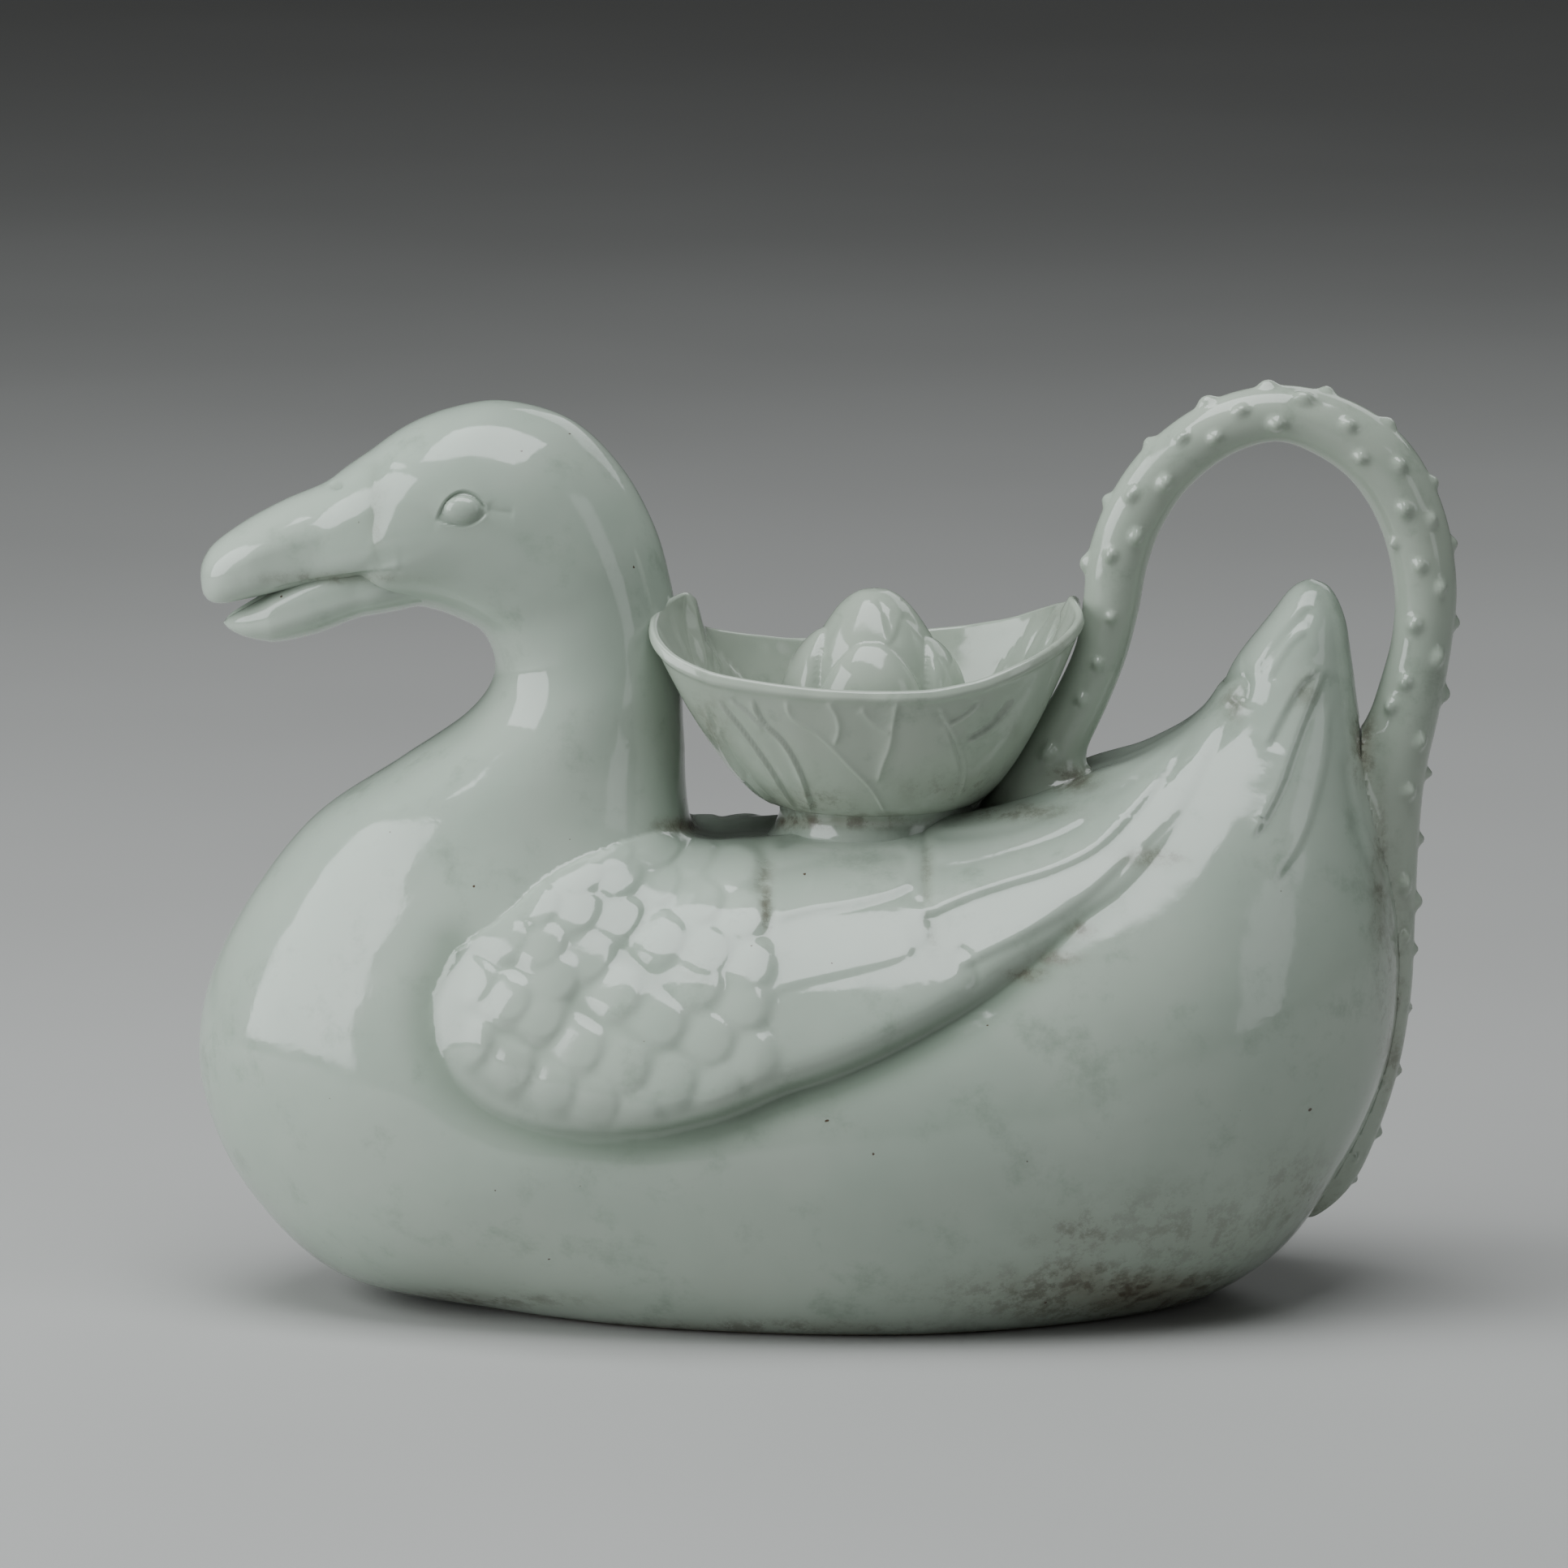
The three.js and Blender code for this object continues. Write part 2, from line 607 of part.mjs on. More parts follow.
function leafCup() {
  const shares = [0, 0.03, 0.12, 0.28, 0.5, 0.76, 1];
  const sections = [];
  for (let i = 0; i < CUP_SIDES; i++) {
    const angle = (-2 * Math.PI * i) / CUP_SIDES;
    const outside = shares.map((share) => cupProfile(angle, share));
    const inside = outside.map((point, k) => {
      const tangent = outside[Math.min(k + 1, shares.length - 1)].clone().sub(outside[Math.max(k - 1, 0)]);
      tangent.normalize();
      if (k === 0) tangent.set(1, 0);
      return new THREE.Vector2(point.x - tangent.y * CUP_WALL, point.y + tangent.x * CUP_WALL);
    });
    const lipOut = outside[outside.length - 1];
    const lipIn = inside[inside.length - 1];
    const rise = lipOut.clone().sub(outside[outside.length - 2]).setLength(CUP_WALL / 2);
    const lip = lipOut.clone().add(lipIn).multiplyScalar(0.5).add(rise);
    const hole = [
      new THREE.Vector2(FILLER_RADIUS, cupUnderside + CUP_WALL),
      new THREE.Vector2(FILLER_RADIUS, cupUnderside),
    ];
    const section = [...outside, lip, ...inside.reverse(), ...hole];
    const direction = new THREE.Vector3(Math.cos(angle), Math.sin(angle), 0);
    sections.push(section.map((point) => fillerAxis(point.y).addScaledVector(direction, point.x)));
  }
  return solid(hoopOf(sections)).subtract(clearOfDuck).subtract(stemClearance);
}

// A profile of radius and height turned round the Z axis.
function turned(profile) {
  const geometry = new THREE.LatheGeometry(profile.map(([r, z]) => new THREE.Vector2(r, z)), BUD_SIDES);
  geometry.rotateX(Math.PI / 2);
  return solid(geometry);
}

function footRing() {
  const top = cupUnderside - LUTE_GAP;
  const outside = FOOT_OUTSIDE.map(([r, drop]) => [r, top - drop]);
  const bottom = outside[outside.length - 1][1];
  const bore = [
    [FILLER_RADIUS, top],
    [FILLER_RADIUS, bottom],
  ];
  const ring = turned([...bore, ...outside.reverse(), bore[0]]).translate([fillerX, 0, 0]);
  return ring.subtract(clearOfDuck).subtract(stemClearance);
}

// The bud that stops the filler, drawn round its own axis with its underside at zero

// The bud's radius at a height above its underside.
function budRadius(height) {
  const above = BUD_PROFILE.findIndex(([, z]) => z > height);
  const [r0, z0] = BUD_PROFILE[above - 1];
  const [r1, z1] = BUD_PROFILE[above];
  return r0 + ((r1 - r0) * (height - z0)) / (z1 - z0);
}

// One low petal, facing +X: a rounded sheet that follows the bud, thickest in its middle.
function petal() {
  const middleHeight = (PETAL_BOTTOM + PETAL_TOP) / 2;
  const halfHeight = (PETAL_TOP - PETAL_BOTTOM) / 2;
  const at = (size, turn, thickness) => {
    const across = Math.cos(turn);
    const up = Math.sin(turn);
    const edge = Math.abs(across) ** PETAL_SQUARENESS + Math.abs(up) ** PETAL_SQUARENESS;
    const reach = size / edge ** (1 / PETAL_SQUARENESS);
    const angle = PETAL_HALF_ANGLE * reach * across;
    const height = middleHeight + halfHeight * reach * up;
    const radius = budRadius(height) + LUTE_GAP + thickness;
    return new THREE.Vector3(radius * Math.cos(angle), radius * Math.sin(angle), height);
  };
  const ring = (size, thickness) => {
    const points = [];
    for (let i = 0; i < PETAL_SIDES; i++) points.push(at(size, (2 * Math.PI * i) / PETAL_SIDES, thickness));
    return points;
  };
  const under = [0.5, 1].map((size) => ring(size, 0));
  const over = [
    [1, 0.45],
    [0.85, 0.9],
    [0.5, 1],
  ].map(([size, share]) => ring(size, PETAL_THICKNESS * share));
  return solid(skinOf([...under, ...over], at(0, 0, 0), at(0, 0, PETAL_THICKNESS)));
}

function plug() {
  const top = new THREE.Vector3(0, 0, -LUTE_GAP);
  const bottom = new THREE.Vector3(0, 0, -LUTE_GAP - PLUG_LENGTH);
  return cylinder(FILLER_RADIUS - PLUG_CLEARANCE, bottom, top);
}

// The wings

function wing(side) {
  const edge = [WING_FRONT, ...WING_EDGE].map(stretched);
  const rearTop = stretched([WING_REAR_TOP_X, 0]).setY(REACH);
  const frontTop = edge[0].clone().setY(REACH);
  const outline = new THREE.Shape([...edge, rearTop, frontTop]);
  const geometry = new THREE.ExtrudeGeometry(outline, { depth: REACH / 2, bevelEnabled: false });
  geometry.rotateX(Math.PI / 2);
  const nearest = side < 0 ? -WING_MIDLINE : WING_MIDLINE + REACH / 2;
  geometry.translate(0, nearest, 0);
  return duck(LUTE_GAP + WING_THICKNESS)
    .subtract(clearOfDuck)
    .intersect(solid(geometry))
    .subtract(stemClearance)
    .subtract(footClearance);
}

const footClearance = cylinder(
  FOOT_OUTSIDE[FOOT_OUTSIDE.length - 1][0] + LUTE_GAP,
  fillerAxis(0),
  fillerAxis(cupUnderside),
);

// The assembly: the ewer, and the stopper standing in its filler

function piece(name, shape, material) {
  const mesh = new THREE.Mesh(geometryOf(shape), material.clone());
  mesh.name = name;
  return mesh;
}

const vessel = new THREE.Group();
vessel.add(
  piece("base_slab", baseSlab, BARE_CLAY),
  piece("body_left_shell", bodyHalf(-1), GLAZE),
  piece("body_right_shell", bodyHalf(1), GLAZE),
  piece("tail", tail, GLAZE),
  piece("neck_tube", neck, GLAZE),
  piece("head_shell", head, GLAZE),
  piece("lower_bill", lowerBill(), GLAZE),
  piece("left_eye", eye(-1), GLAZE),
  piece("right_eye", eye(1), GLAZE),
  piece("left_wing", wing(-1), GLAZE),
  piece("right_wing", wing(1), GLAZE),
  piece("cup_foot_ring", footRing(), GLAZE),
  piece("leaf_cup", leafCup(), LEAF_GLAZE),
  piece("handle_stem", handle(), LEAF_GLAZE),
);

const stopper = new THREE.Group();
stopper.position.set(fillerX, 0, cupUnderside + CUP_WALL + LUTE_GAP);
stopper.add(piece("bud_core", turned(BUD_PROFILE), LEAF_GLAZE), piece("stopper_plug", plug(), BARE_CLAY));
for (let i = 0; i < PETAL_COUNT; i++) {
  const mesh = piece(`bud_petal_${i + 1}`, petal(), LEAF_GLAZE);
  mesh.rotation.z = (2 * Math.PI * i) / PETAL_COUNT - Math.PI / 2 - PETAL_TURN;
  stopper.add(mesh);
}

const ewer = new THREE.Group();
ewer.add(vessel, stopper);

export default ewer;
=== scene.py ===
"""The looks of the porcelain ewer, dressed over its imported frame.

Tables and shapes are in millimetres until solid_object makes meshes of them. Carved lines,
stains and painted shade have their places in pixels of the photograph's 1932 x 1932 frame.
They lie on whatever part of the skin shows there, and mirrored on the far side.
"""
import math

import bmesh
import bpy
import numpy as np
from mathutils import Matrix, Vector
from mathutils.bvhtree import BVHTree


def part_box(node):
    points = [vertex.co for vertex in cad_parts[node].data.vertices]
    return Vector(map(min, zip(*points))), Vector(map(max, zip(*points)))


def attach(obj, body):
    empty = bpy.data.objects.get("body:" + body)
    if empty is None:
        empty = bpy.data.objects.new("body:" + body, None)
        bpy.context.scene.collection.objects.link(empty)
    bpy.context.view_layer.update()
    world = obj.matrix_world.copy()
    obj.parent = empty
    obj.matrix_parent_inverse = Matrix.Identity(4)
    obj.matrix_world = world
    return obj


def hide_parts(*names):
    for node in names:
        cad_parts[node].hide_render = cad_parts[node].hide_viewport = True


MM = 0.001

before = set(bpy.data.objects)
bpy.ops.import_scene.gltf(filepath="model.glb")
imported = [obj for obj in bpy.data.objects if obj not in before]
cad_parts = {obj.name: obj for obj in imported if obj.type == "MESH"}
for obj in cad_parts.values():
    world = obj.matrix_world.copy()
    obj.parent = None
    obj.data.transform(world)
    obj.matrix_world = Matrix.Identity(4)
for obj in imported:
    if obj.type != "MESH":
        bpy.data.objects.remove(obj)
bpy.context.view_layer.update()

# The photograph's camera

PHOTO_PIXELS = 1932
CAMERA_AZIMUTH = math.radians(0.6)
CAMERA_ELEVATION = math.radians(10)
CAMERA_DISTANCE = 2400.0
CAMERA_TARGET = np.array([-8.8, 0.0, 99.9])
PHOTO_WIDTH = 300.1  # of the photograph's frame, measured at the target
SENSOR_WIDTH = 36.0
PIXEL = PHOTO_WIDTH / PHOTO_PIXELS

# The duck: points on its back line and its belly line and its half width, tail to bill

STATIONS = np.array([
    [91.5, 140, 91.6, 140, 0],
    [88, 138, 95.5, 138, 4],
    [83.5, 132.2, 98.3, 132.2, 8],
    [77.5, 124.5, 99.7, 124, 11.5],
    [70.4, 114, 101.3, 113, 16],
    [60.6, 107.3, 103.8, 99.5, 22],
    [49, 102.8, 107.6, 82, 29],
    [38, 98, 109.3, 64, 36],
    [28, 94.8, 107, 46, 42],
    [19, 92.8, 99.5, 28, 46.5],
    [10, 91.6, 85, 8.5, 50],
    [1, 91, 62, -3, 53],
    [-8, 90.6, 20, -14, 55],
    [-16, 90.4, -25, -11.5, 54.5],
    [-21.5, 90.1, -66, -2, 51.5],
    [-25, 91, -94.5, 5, 47],
    [-26.6, 93, -112, 21.5, 43],
    [-27.2, 96, -120.3, 40, 38.5],
    [-27.5, 99.2, -120.3, 57, 34],
    [-27.7, 103, -113.5, 74, 29.5],
    [-27.8, 107.5, -99.8, 92.5, 25],
    [-28.1, 113, -82.5, 104.5, 21.5],
    [-28.3, 120, -69.5, 113.5, 19],
    [-28.8, 129, -64.2, 121.5, 17.5],
    [-30.5, 139.5, -66, 129, 17.5],
    [-33.6, 150, -71.5, 132.5, 18.5],
    [-39.7, 161, -77.5, 134.4, 19.2],
    [-49, 170, -82.6, 134.8, 19.3],
    [-61.5, 173.8, -87, 136.4, 18.5],
    [-72, 172.5, -89.8, 140, 17],
    [-81, 168.9, -92, 139.9, 15],
    [-89.5, 162.9, -96, 139.3, 13],
    [-96, 158.3, -100, 138.7, 11.6],
    [-104, 154.8, -105.5, 137.6, 11],
    [-111.4, 150.8, -111, 136.4, 10.5],
    [-117.4, 146.5, -116.3, 135.3, 8.5],
    [-119.8, 143, -119.3, 136.4, 5],
    [-120.3, 140, -120.3, 139.9, 0],
])
BILL_STATIONS = (26.5, 31)  # rows over which the sections turn from the head's to the bill's
BILL_TIP_ROWS = 1.5  # over which they turn back to ovals at its tip
BILL_SQUARENESS = 1.9  # added to the 2 of an oval, on the lower half of the bill's sections
SKIN_TIP = 0.06  # how far from its two end points the skin's rings start, in rows
SKIN_RINGS = 900
SKIN_SIDES = 220
SKIN_VOXEL = 1.3
SKIN_SMOOTHING = 6
FLOOR_ROUNDING = 2.4

# Its hollow: the cavity, the filler hole in the back and the spout's bore

CAVITY_STATIONS = (2.7, 30)
CAVITY_RINGS = 90
BORE_SIDES = 64
BODY_WALL = 5
BASE_THICKNESS = 5
FILLER_X = 8.5
FILLER_RADIUS = 9
BACK_HOLE_MARGIN = 3.5
BACK_HOLE_START = 10
SPOUT_RADIUS = 2.6
SPOUT_INSIDE = (-62, 0, 141)
SPOUT_MOUTH = (-122, 0, 133.5)

# The lower half of the bill: x, upper edge, lower edge and half width, tip first

LOWER_BILL = np.array([
    [-115.9, 131.1, 131, 0], [-114.5, 132.6, 129.8, 3.6], [-111.5, 134.4, 128.5, 6.6],
    [-108, 136.4, 127.8, 8.6], [-105, 138.4, 127.7, 9.7], [-98, 142, 129.3, 11],
    [-90, 144, 132.4, 11.8], [-83, 144, 134.6, 11.6], [-76, 144, 137, 10],
    [-70, 144, 140, 6],
])
LOWER_BILL_START = 0.12
LOWER_BILL_RINGS = 90
LOWER_BILL_SIDES = 96
LOWER_BILL_POWERS = (3.6, 2.3)  # how square its upper and lower halves are, 2 for an oval
LUTE_DEPTH = 0.35  # how deep a luted piece's spread edge lies in the duck's skin
JAW_FILLET = 6  # of the glaze between the lower bill and the cheek
JAW = (-96, -87)  # from where the mouth closes to where that corner is quite filled

# The stem: x, z and radius, from its root behind the cup to its end on the rump

STEM = np.array([
    [36.5, 88, 9.6], [38.6, 96.5, 8.4], [40.9, 102, 6.8], [43.8, 108.5, 5.6],
    [48.4, 117.5, 5.1], [51.8, 126, 5], [53.6, 134.5, 5.4], [55, 144, 5.8],
    [58.4, 153, 5.8], [64.6, 161.8, 5.7], [74.4, 169, 5.5], [85.6, 171.7, 5.4],
    [96.4, 168.6, 6.1], [105.1, 162, 6.5], [110.9, 151.5, 6.3], [113.5, 139, 6],
    [112.9, 127.5, 5.8], [110.2, 115, 6.3], [107.4, 103, 6.6], [107.2, 90, 5.6],
    [107.6, 75, 4.6], [107, 60, 4.6], [104.6, 46, 4.8], [101, 34, 4.7],
    [96.7, 24, 4.5], [91.6, 15.5, 3.6],
])
STEM_RINGS = 640
STEM_SIDES = 64
STEM_END = 0.06  # share of its length over which it thins out
STEM_END_CLOSING = 0.995  # how nearly it thins out to nothing
STEM_STEP = 0.01  # part of a row over which its direction is taken
STEM_FILLETS = (1.4, 5)  # low on the rump, and from the back upwards
STEM_FILLET_HEIGHTS = (76, 94)
THORN_HEIGHT = 1.35
THORN_RADIUS = 1.55
THORN_LENGTH = 1.35  # how much longer a thorn is along the stem than across it
THORN_SLOPE = 1.35
THORN_BLUNTNESS = 2.6
THORN_SIZES = (0.75, 1.1)
THORN_SEED = 11
OUTER_THORN_TURN = 0.12  # most that an outer thorn stands off its line, in radians
FAR_THORN_TURN = 0.15
FAR_THORN_SHIFT = 0.011  # share of the length between a near side's thorn and the far side's
LOW_THORNS = (0.78, 0.84)  # shares of the length over which the thorns get smaller
LOW_THORN_LOSS = 0.35

# The stem's thorns: shares of its length for those on its outer line, and for those on its side
# also how far out they stand, as a share of its radius

OUTER_THORNS = [
    0.271, 0.317, 0.361, 0.399, 0.433, 0.465, 0.505, 0.545, 0.58, 0.625, 0.667, 0.72, 0.762, 0.794,
    0.818, 0.848, 0.882, 0.921, 0.957,
]
SIDE_THORNS = [
    (0.109, 0.24), (0.158, 0.07), (0.191, 0.04), (0.234, -0.05), (0.283, 0.31), (0.304, -0.28),
    (0.33, 0.47), (0.35, -0.19), (0.378, 0.51), (0.394, -0.09), (0.416, 0.44), (0.437, -0.24),
    (0.453, 0.72), (0.484, 0.41), (0.503, -0.23), (0.525, 0.46), (0.55, -0.08), (0.562, 0.57),
    (0.57, -0.74), (0.586, -0.12), (0.601, 0.47), (0.626, -0.36), (0.645, 0.56), (0.663, -0.31),
    (0.679, -0.53), (0.696, 0.58), (0.731, 0.53), (0.784, 0.5), (0.81, 0.6), (0.841, 0.4),
    (0.89, 0.5), (0.94, 0.45),
]

# The ring of clay under the cup

FOOT_FILLET = 2.5  # of the glaze that fills the corner at its root
FOOT_OVERLAP = 0.6  # of the ring into the cup's underside
FOOT_DEPTH = 18
FOOT_RINGS = 40
FOOT_SIDES = 160
FOOT_WAIST = 0.8
FOOT_WAIST_DEPTH = 5

# The leaf cup

CUP_WALL = 2.8
CUP_RIM_WALL = 1.7
CUP_THINNING = 0.55  # share of its height from which the wall gets thinner
CUP_FOOT_RADIUS = 19
CUP_FRONT_FULLNESS = 0.5
CUP_REAR_FULLNESS = 0.63
CUP_FLARE = 0.12  # added where the leaf's front reaches far out
CUP_FLARE_REACH = (37, 45)
CUP_SIDES = 600
CUP_OUTER_STEPS = 90
CUP_INNER_STEPS = 28
CUP_FLOOR_STEPS = 8
CUP_STEP_POWER = 1.5  # how much closer the steps are at the foot

# The leaf's rim: degrees round the filler axis from the tail, negative on the near side,
# its reach from the axis and its height above the cup's underside

CUP_RIM = np.array([
    [-180, 36.4, 40.6], [-176, 37.6, 40], [-172, 41, 39.2], [-165, 44.4, 36.9],
    [-158, 45.6, 34], [-150, 44.6, 31], [-140, 41.2, 28.6], [-125, 36.4, 27.3],
    [-110, 33.6, 26.5], [-90, 32, 26], [-70, 33.4, 26.2], [-55, 36, 27.8],
    [-40, 38.8, 31], [-30, 40.4, 33.4], [-20, 41.2, 35.8], [-13, 41, 37.4],
    [-6, 39, 38.9], [0, 38, 39.3], [6, 39, 38.7], [15, 40.6, 37],
    [30, 40, 34.3], [45, 37.5, 30.6], [60, 34.8, 28.6], [75, 32.6, 27.6],
    [90, 32, 26.8], [105, 32.4, 26.1], [120, 34, 26.2], [137, 35.8, 28],
    [154, 36.7, 30.5], [166, 35.6, 32.6], [173, 35.4, 36.5], [180, 36.4, 40.6],
])
CUP_RIM_SOFTNESS = 4  # degrees over which the rim's corners are rounded
RIM_SAMPLES = np.linspace(-1.5, 1.5, 13)  # in those degrees

LIP_ROLL = 0.45  # how far the rolled lip stands out
LIP_HEIGHT = 1.1
LIP_MIDDLE = 0.5  # how far below the rim it stands out most, in its own height
LIP_STEPS = 10

# Carved lines: height just above the line and how many pixels it fades over, the same just
# below it, and the line's course from left to right, all in the photograph

LINE_STEP = 4.0  # pixels from point to point of a carved line
LINE_REACH = 4  # how far a line is felt, in the pixels that it fades over
LINE_ENDS = 0.1  # share of its length over which each end dies out
SOFT_LINE = 6  # pixels over which a feather's or petal's line turns to its other side
SHARP_LINE = 1.5  # the same for the finer lines of the head and the leaf

# Veins and folds of the leaf: on the cup's outside, and on its inside where the photograph
# shows its far half

CUP_FOOT_FADE = 0.1  # share of the cup's height over which its veins begin
CUP_LINES = [
    (-0.4, 8, 0.65, 4, [(927, 860), (938, 888), (966, 916), (985, 950), (996, 982), (1003, 1008)]),
    (0.6, 4, 0.1, 5, [(967, 860), (975, 884), (1008, 906), (1050, 948), (1074, 974), (1094, 1008)]),
    (0.55, 4, 0.3, 4, [(1019, 864), (1031, 884), (1033, 902), (1027, 918)]),
    (0.6, 4, 0.5, 4, [(1106, 862), (1101, 886), (1096, 918), (1088, 940), (1080, 966)]),
    (0.4, 4, 0.4, 4, [(1060, 872), (1076, 890), (1098, 904)]),
    (0.5, 4, -0.4, 6, [(1154, 872), (1166, 892), (1180, 920), (1187, 950), (1180, 984)]),
    (0.3, 4, 0.3, 4, [(1163, 892), (1172, 916), (1182, 954)]),
    (-0.5, 6, 0.5, 4, [(1170, 892), (1190, 882), (1208, 866)]),
    (-0.5, 6, 0.6, 5, [(1192, 914), (1222, 894), (1250, 860)]),
    (-0.4, 6, 0.55, 4, [(868, 868), (886, 910), (906, 944), (934, 972), (964, 1002)]),
    (-0.35, 5, 0.5, 4, [(884, 896), (900, 930), (922, 962)]),
    (-0.5, 5, 0.6, 4, [(884, 862), (912, 896), (944, 940), (964, 972), (984, 1000)]),
    (-0.4, 5, 0.4, 5, [(900, 862), (922, 878), (944, 900)]),
]
CUP_INNER_LINES = [
    (1.1, 6, -1.3, 8, [(846, 733), (852, 760), (860, 800), (867, 830)]),
    (0.3, 5, -0.3, 5, [(828, 756), (836, 786), (856, 816)]),
    (-0.5, 8, 0.4, 8, [(862, 790), (890, 812), (926, 846)]),
    (-0.4, 6, 0.4, 8, [(1000, 792), (1002, 820), (1006, 850)]),
    (-0.6, 6, 0.5, 6, [(1262, 812), (1280, 780), (1304, 744)]),
    (0.5, 5, -0.4, 5, [(1286, 800), (1300, 772), (1316, 748)]),
    (-0.4, 5, 0.3, 8, [(1216, 836), (1246, 806), (1268, 776)]),
]

# The bud

BUD_PROFILE = np.array([
    [0, 0], [0.753, 0], [0.877, 0.106], [0.973, 0.265],
    [1, 0.42], [0.955, 0.57], [0.83, 0.7], [0.65, 0.82],
    [0.44, 0.925], [0.22, 0.985], [0, 1],
]) * [14.6, 37.8]

# Its low petals: heading in degrees from the tail, half angle, top, and how far they stand out

PETALS = [
    (-93, 49, 29, 2.8),
    (-20, 34, 29, 3.6),
    (-168, 36, 30.5, 3.6),
    (42, 34, 25, 2.5),
    (96, 42, 27, 2.6),
    (148, 32, 25, 2.5),
]
PETAL_SQUARENESS = 2.5
PETAL_FULLNESS = 5
PETAL_FOOT = 1.5  # height over which the petals' foot curls in
PETAL_FOOT_SHARE = 0.2  # of what they stand out, at the very foot
BUD_RINGS = 170
BUD_SIDES = 260
BUD_START = 0.2
BUD_END = 0.02
BUD_TIP_RADIUS = 0.02
BUD_LINES = [
    (-0.3, 8, 0.3, 6, [(1076, 738), (1086, 756), (1092, 774), (1099, 796)]),
    (0.3, 6, -0.3, 8, [(1099, 796), (1105, 776), (1112, 756), (1106, 738)]),
    (0.3, 6, -0.4, 8, [(1040, 758), (1026, 782), (1016, 812)]),
    (-0.3, 6, 0.3, 8, [(1112, 760), (1138, 784), (1158, 812)]),
]

# The bare plug under it: radius and height from its worn lower edge up to the bud

PLUG_PROFILE = np.array([
    [5.9, -13], [7.1, -12.8], [7.8, -12.2], [8.1, -11],
    [8.4, -7.15], [8.4, -3.25], [8.3, -1], [8.2, -0.3],
])
PLUG_SIDES = 96
PLUG_RINGS = 48

# The wing's outline in the photograph: its upper and lower edge, and what closes it high over
# the duck's back, where no skin is

WING_TOP = [
    (560, 1172), (619, 1131), (677, 1079), (748, 1046), (790, 1032), (830, 1022), (930, 1010),
]
WING_LOW = [
    (560, 1172), (545, 1200), (530, 1240), (535, 1290), (555, 1330), (580, 1355), (605, 1372),
    (640, 1387), (677, 1396), (720, 1401), (765, 1402), (810, 1398), (853, 1388), (890, 1378),
    (927, 1364), (965, 1348), (1032, 1326), (1100, 1296), (1164, 1262), (1215, 1231), (1261, 1197),
    (1300, 1165), (1340, 1130), (1380, 1103), (1406, 1079), (1432, 1048), (1450, 1022), (1475, 975),
    (1500, 920), (1518, 880), (1530, 845),
]
WING_CLOSING = [(1530, 500), (960, 500)]
WING_FRONT = (860, 560)  # across the photograph, from where its shoulder begins to its fullest
WING_TIP = (1130, 1480)
EDGE_SEARCH = 300
EDGE_FAR = 400.0  # distance in pixels of what lies nowhere near an edge

# How far the wing stands over the body, how many pixels its edge is rounded over, and how deep
# the body is undercut just below: along its middle, and what its shoulder and its tip add

WING_RISE = (3.6, 0.6, -2.6)
WING_ROUNDING = (13, 52, 6)
UNDERCUT = (1.3, -0.52, -1.105)
UNDERCUT_REACH = 32
WING_EDGE_POWER = 1.4
WING_TOP_ROUNDING = 38
WING_SIDES = (1.5, 12)  # distance from the middle plane over which the wing begins
FEATHER_EDGE = 26
FEATHER_SIDES = (5, 18)

# Where the glaze is painted darker, as pooled glaze and as painted shade: along the wing's edge
# and in the shade just below it, in the corners between the scales and in carved lines

POOL_AND_SHADE_STRENGTH = 1.2
POOL_AND_SHADE_REACH = 10
SCALE_CORNERS = (950, 930)
SCALE_CORNERS_EDGE = 60
SCALE_CORNER_SHARE = 0.6
# Depth of carving at which the painted pooling and shade are full
POOL_AND_SHADE_DEPTH = 1.1  # of carving that is full of glaze

# The wing's feathers, the tail's ridges and the lines of the head

WING_LINES = [
    (-0.5, 12, -0.5, 8, [(950, 1061), (1000, 1046), (1050, 1039), (1100, 1038), (1130, 1029)]),
    (0.25, 21, -0.32, 18, [(950, 1090), (1000, 1078), (1050, 1070), (1100, 1067), (1126, 1070)]),
    (0.4, 14, -0.35, 26, [(950, 1150), (1000, 1138), (1050, 1130), (1100, 1118), (1128, 1104)]),
    (-0.45, 10, -0.45, 12, [(1126, 1028), (1140, 1042), (1145, 1075), (1143, 1110), (1140, 1136)]),
    (0.14, 30, -0.16, 34, [(946, 1238), (980, 1224), (1060, 1206), (1104, 1195), (1134, 1180)]),
    (-0.3, 12, -0.3, 14, [(1120, 1188), (1138, 1178), (1150, 1164), (1150, 1146), (1140, 1136)]),
    (0.3, 18, -0.5, 14, [(1150, 1047), (1200, 1043), (1250, 1033), (1290, 1016), (1330, 992)]),
    (0.34, 18, -0.34, 14, [(1152, 1084), (1200, 1076), (1250, 1060), (1300, 1040), (1350, 1012)]),
    (0.6, 11, -0.5, 24, [
        (1136, 1141), (1152, 1138), (1200, 1118), (1250, 1100), (1300, 1082), (1352, 1054),
        (1392, 1014), (1424, 974), (1452, 930), (1480, 888),
    ]),
    (0.36, 18, -0.36, 16, [(1176, 1206), (1230, 1178), (1262, 1161), (1330, 1118), (1400, 1050)]),
    (-0.43, 7, -0.22, 12, [(1178, 1176), (1196, 1190), (1204, 1210), (1196, 1228)]),
    (0.29, 16, -0.43, 12, [(1330, 976), (1380, 956), (1420, 926), (1452, 896), (1480, 866)]),
    (0.22, 14, -0.36, 10, [(1350, 994), (1390, 972), (1424, 944), (1460, 904), (1494, 862)]),
    (0.3, 14, -0.15, 12, [(1404, 1052), (1436, 1018), (1470, 984), (1490, 944), (1502, 896)]),
]
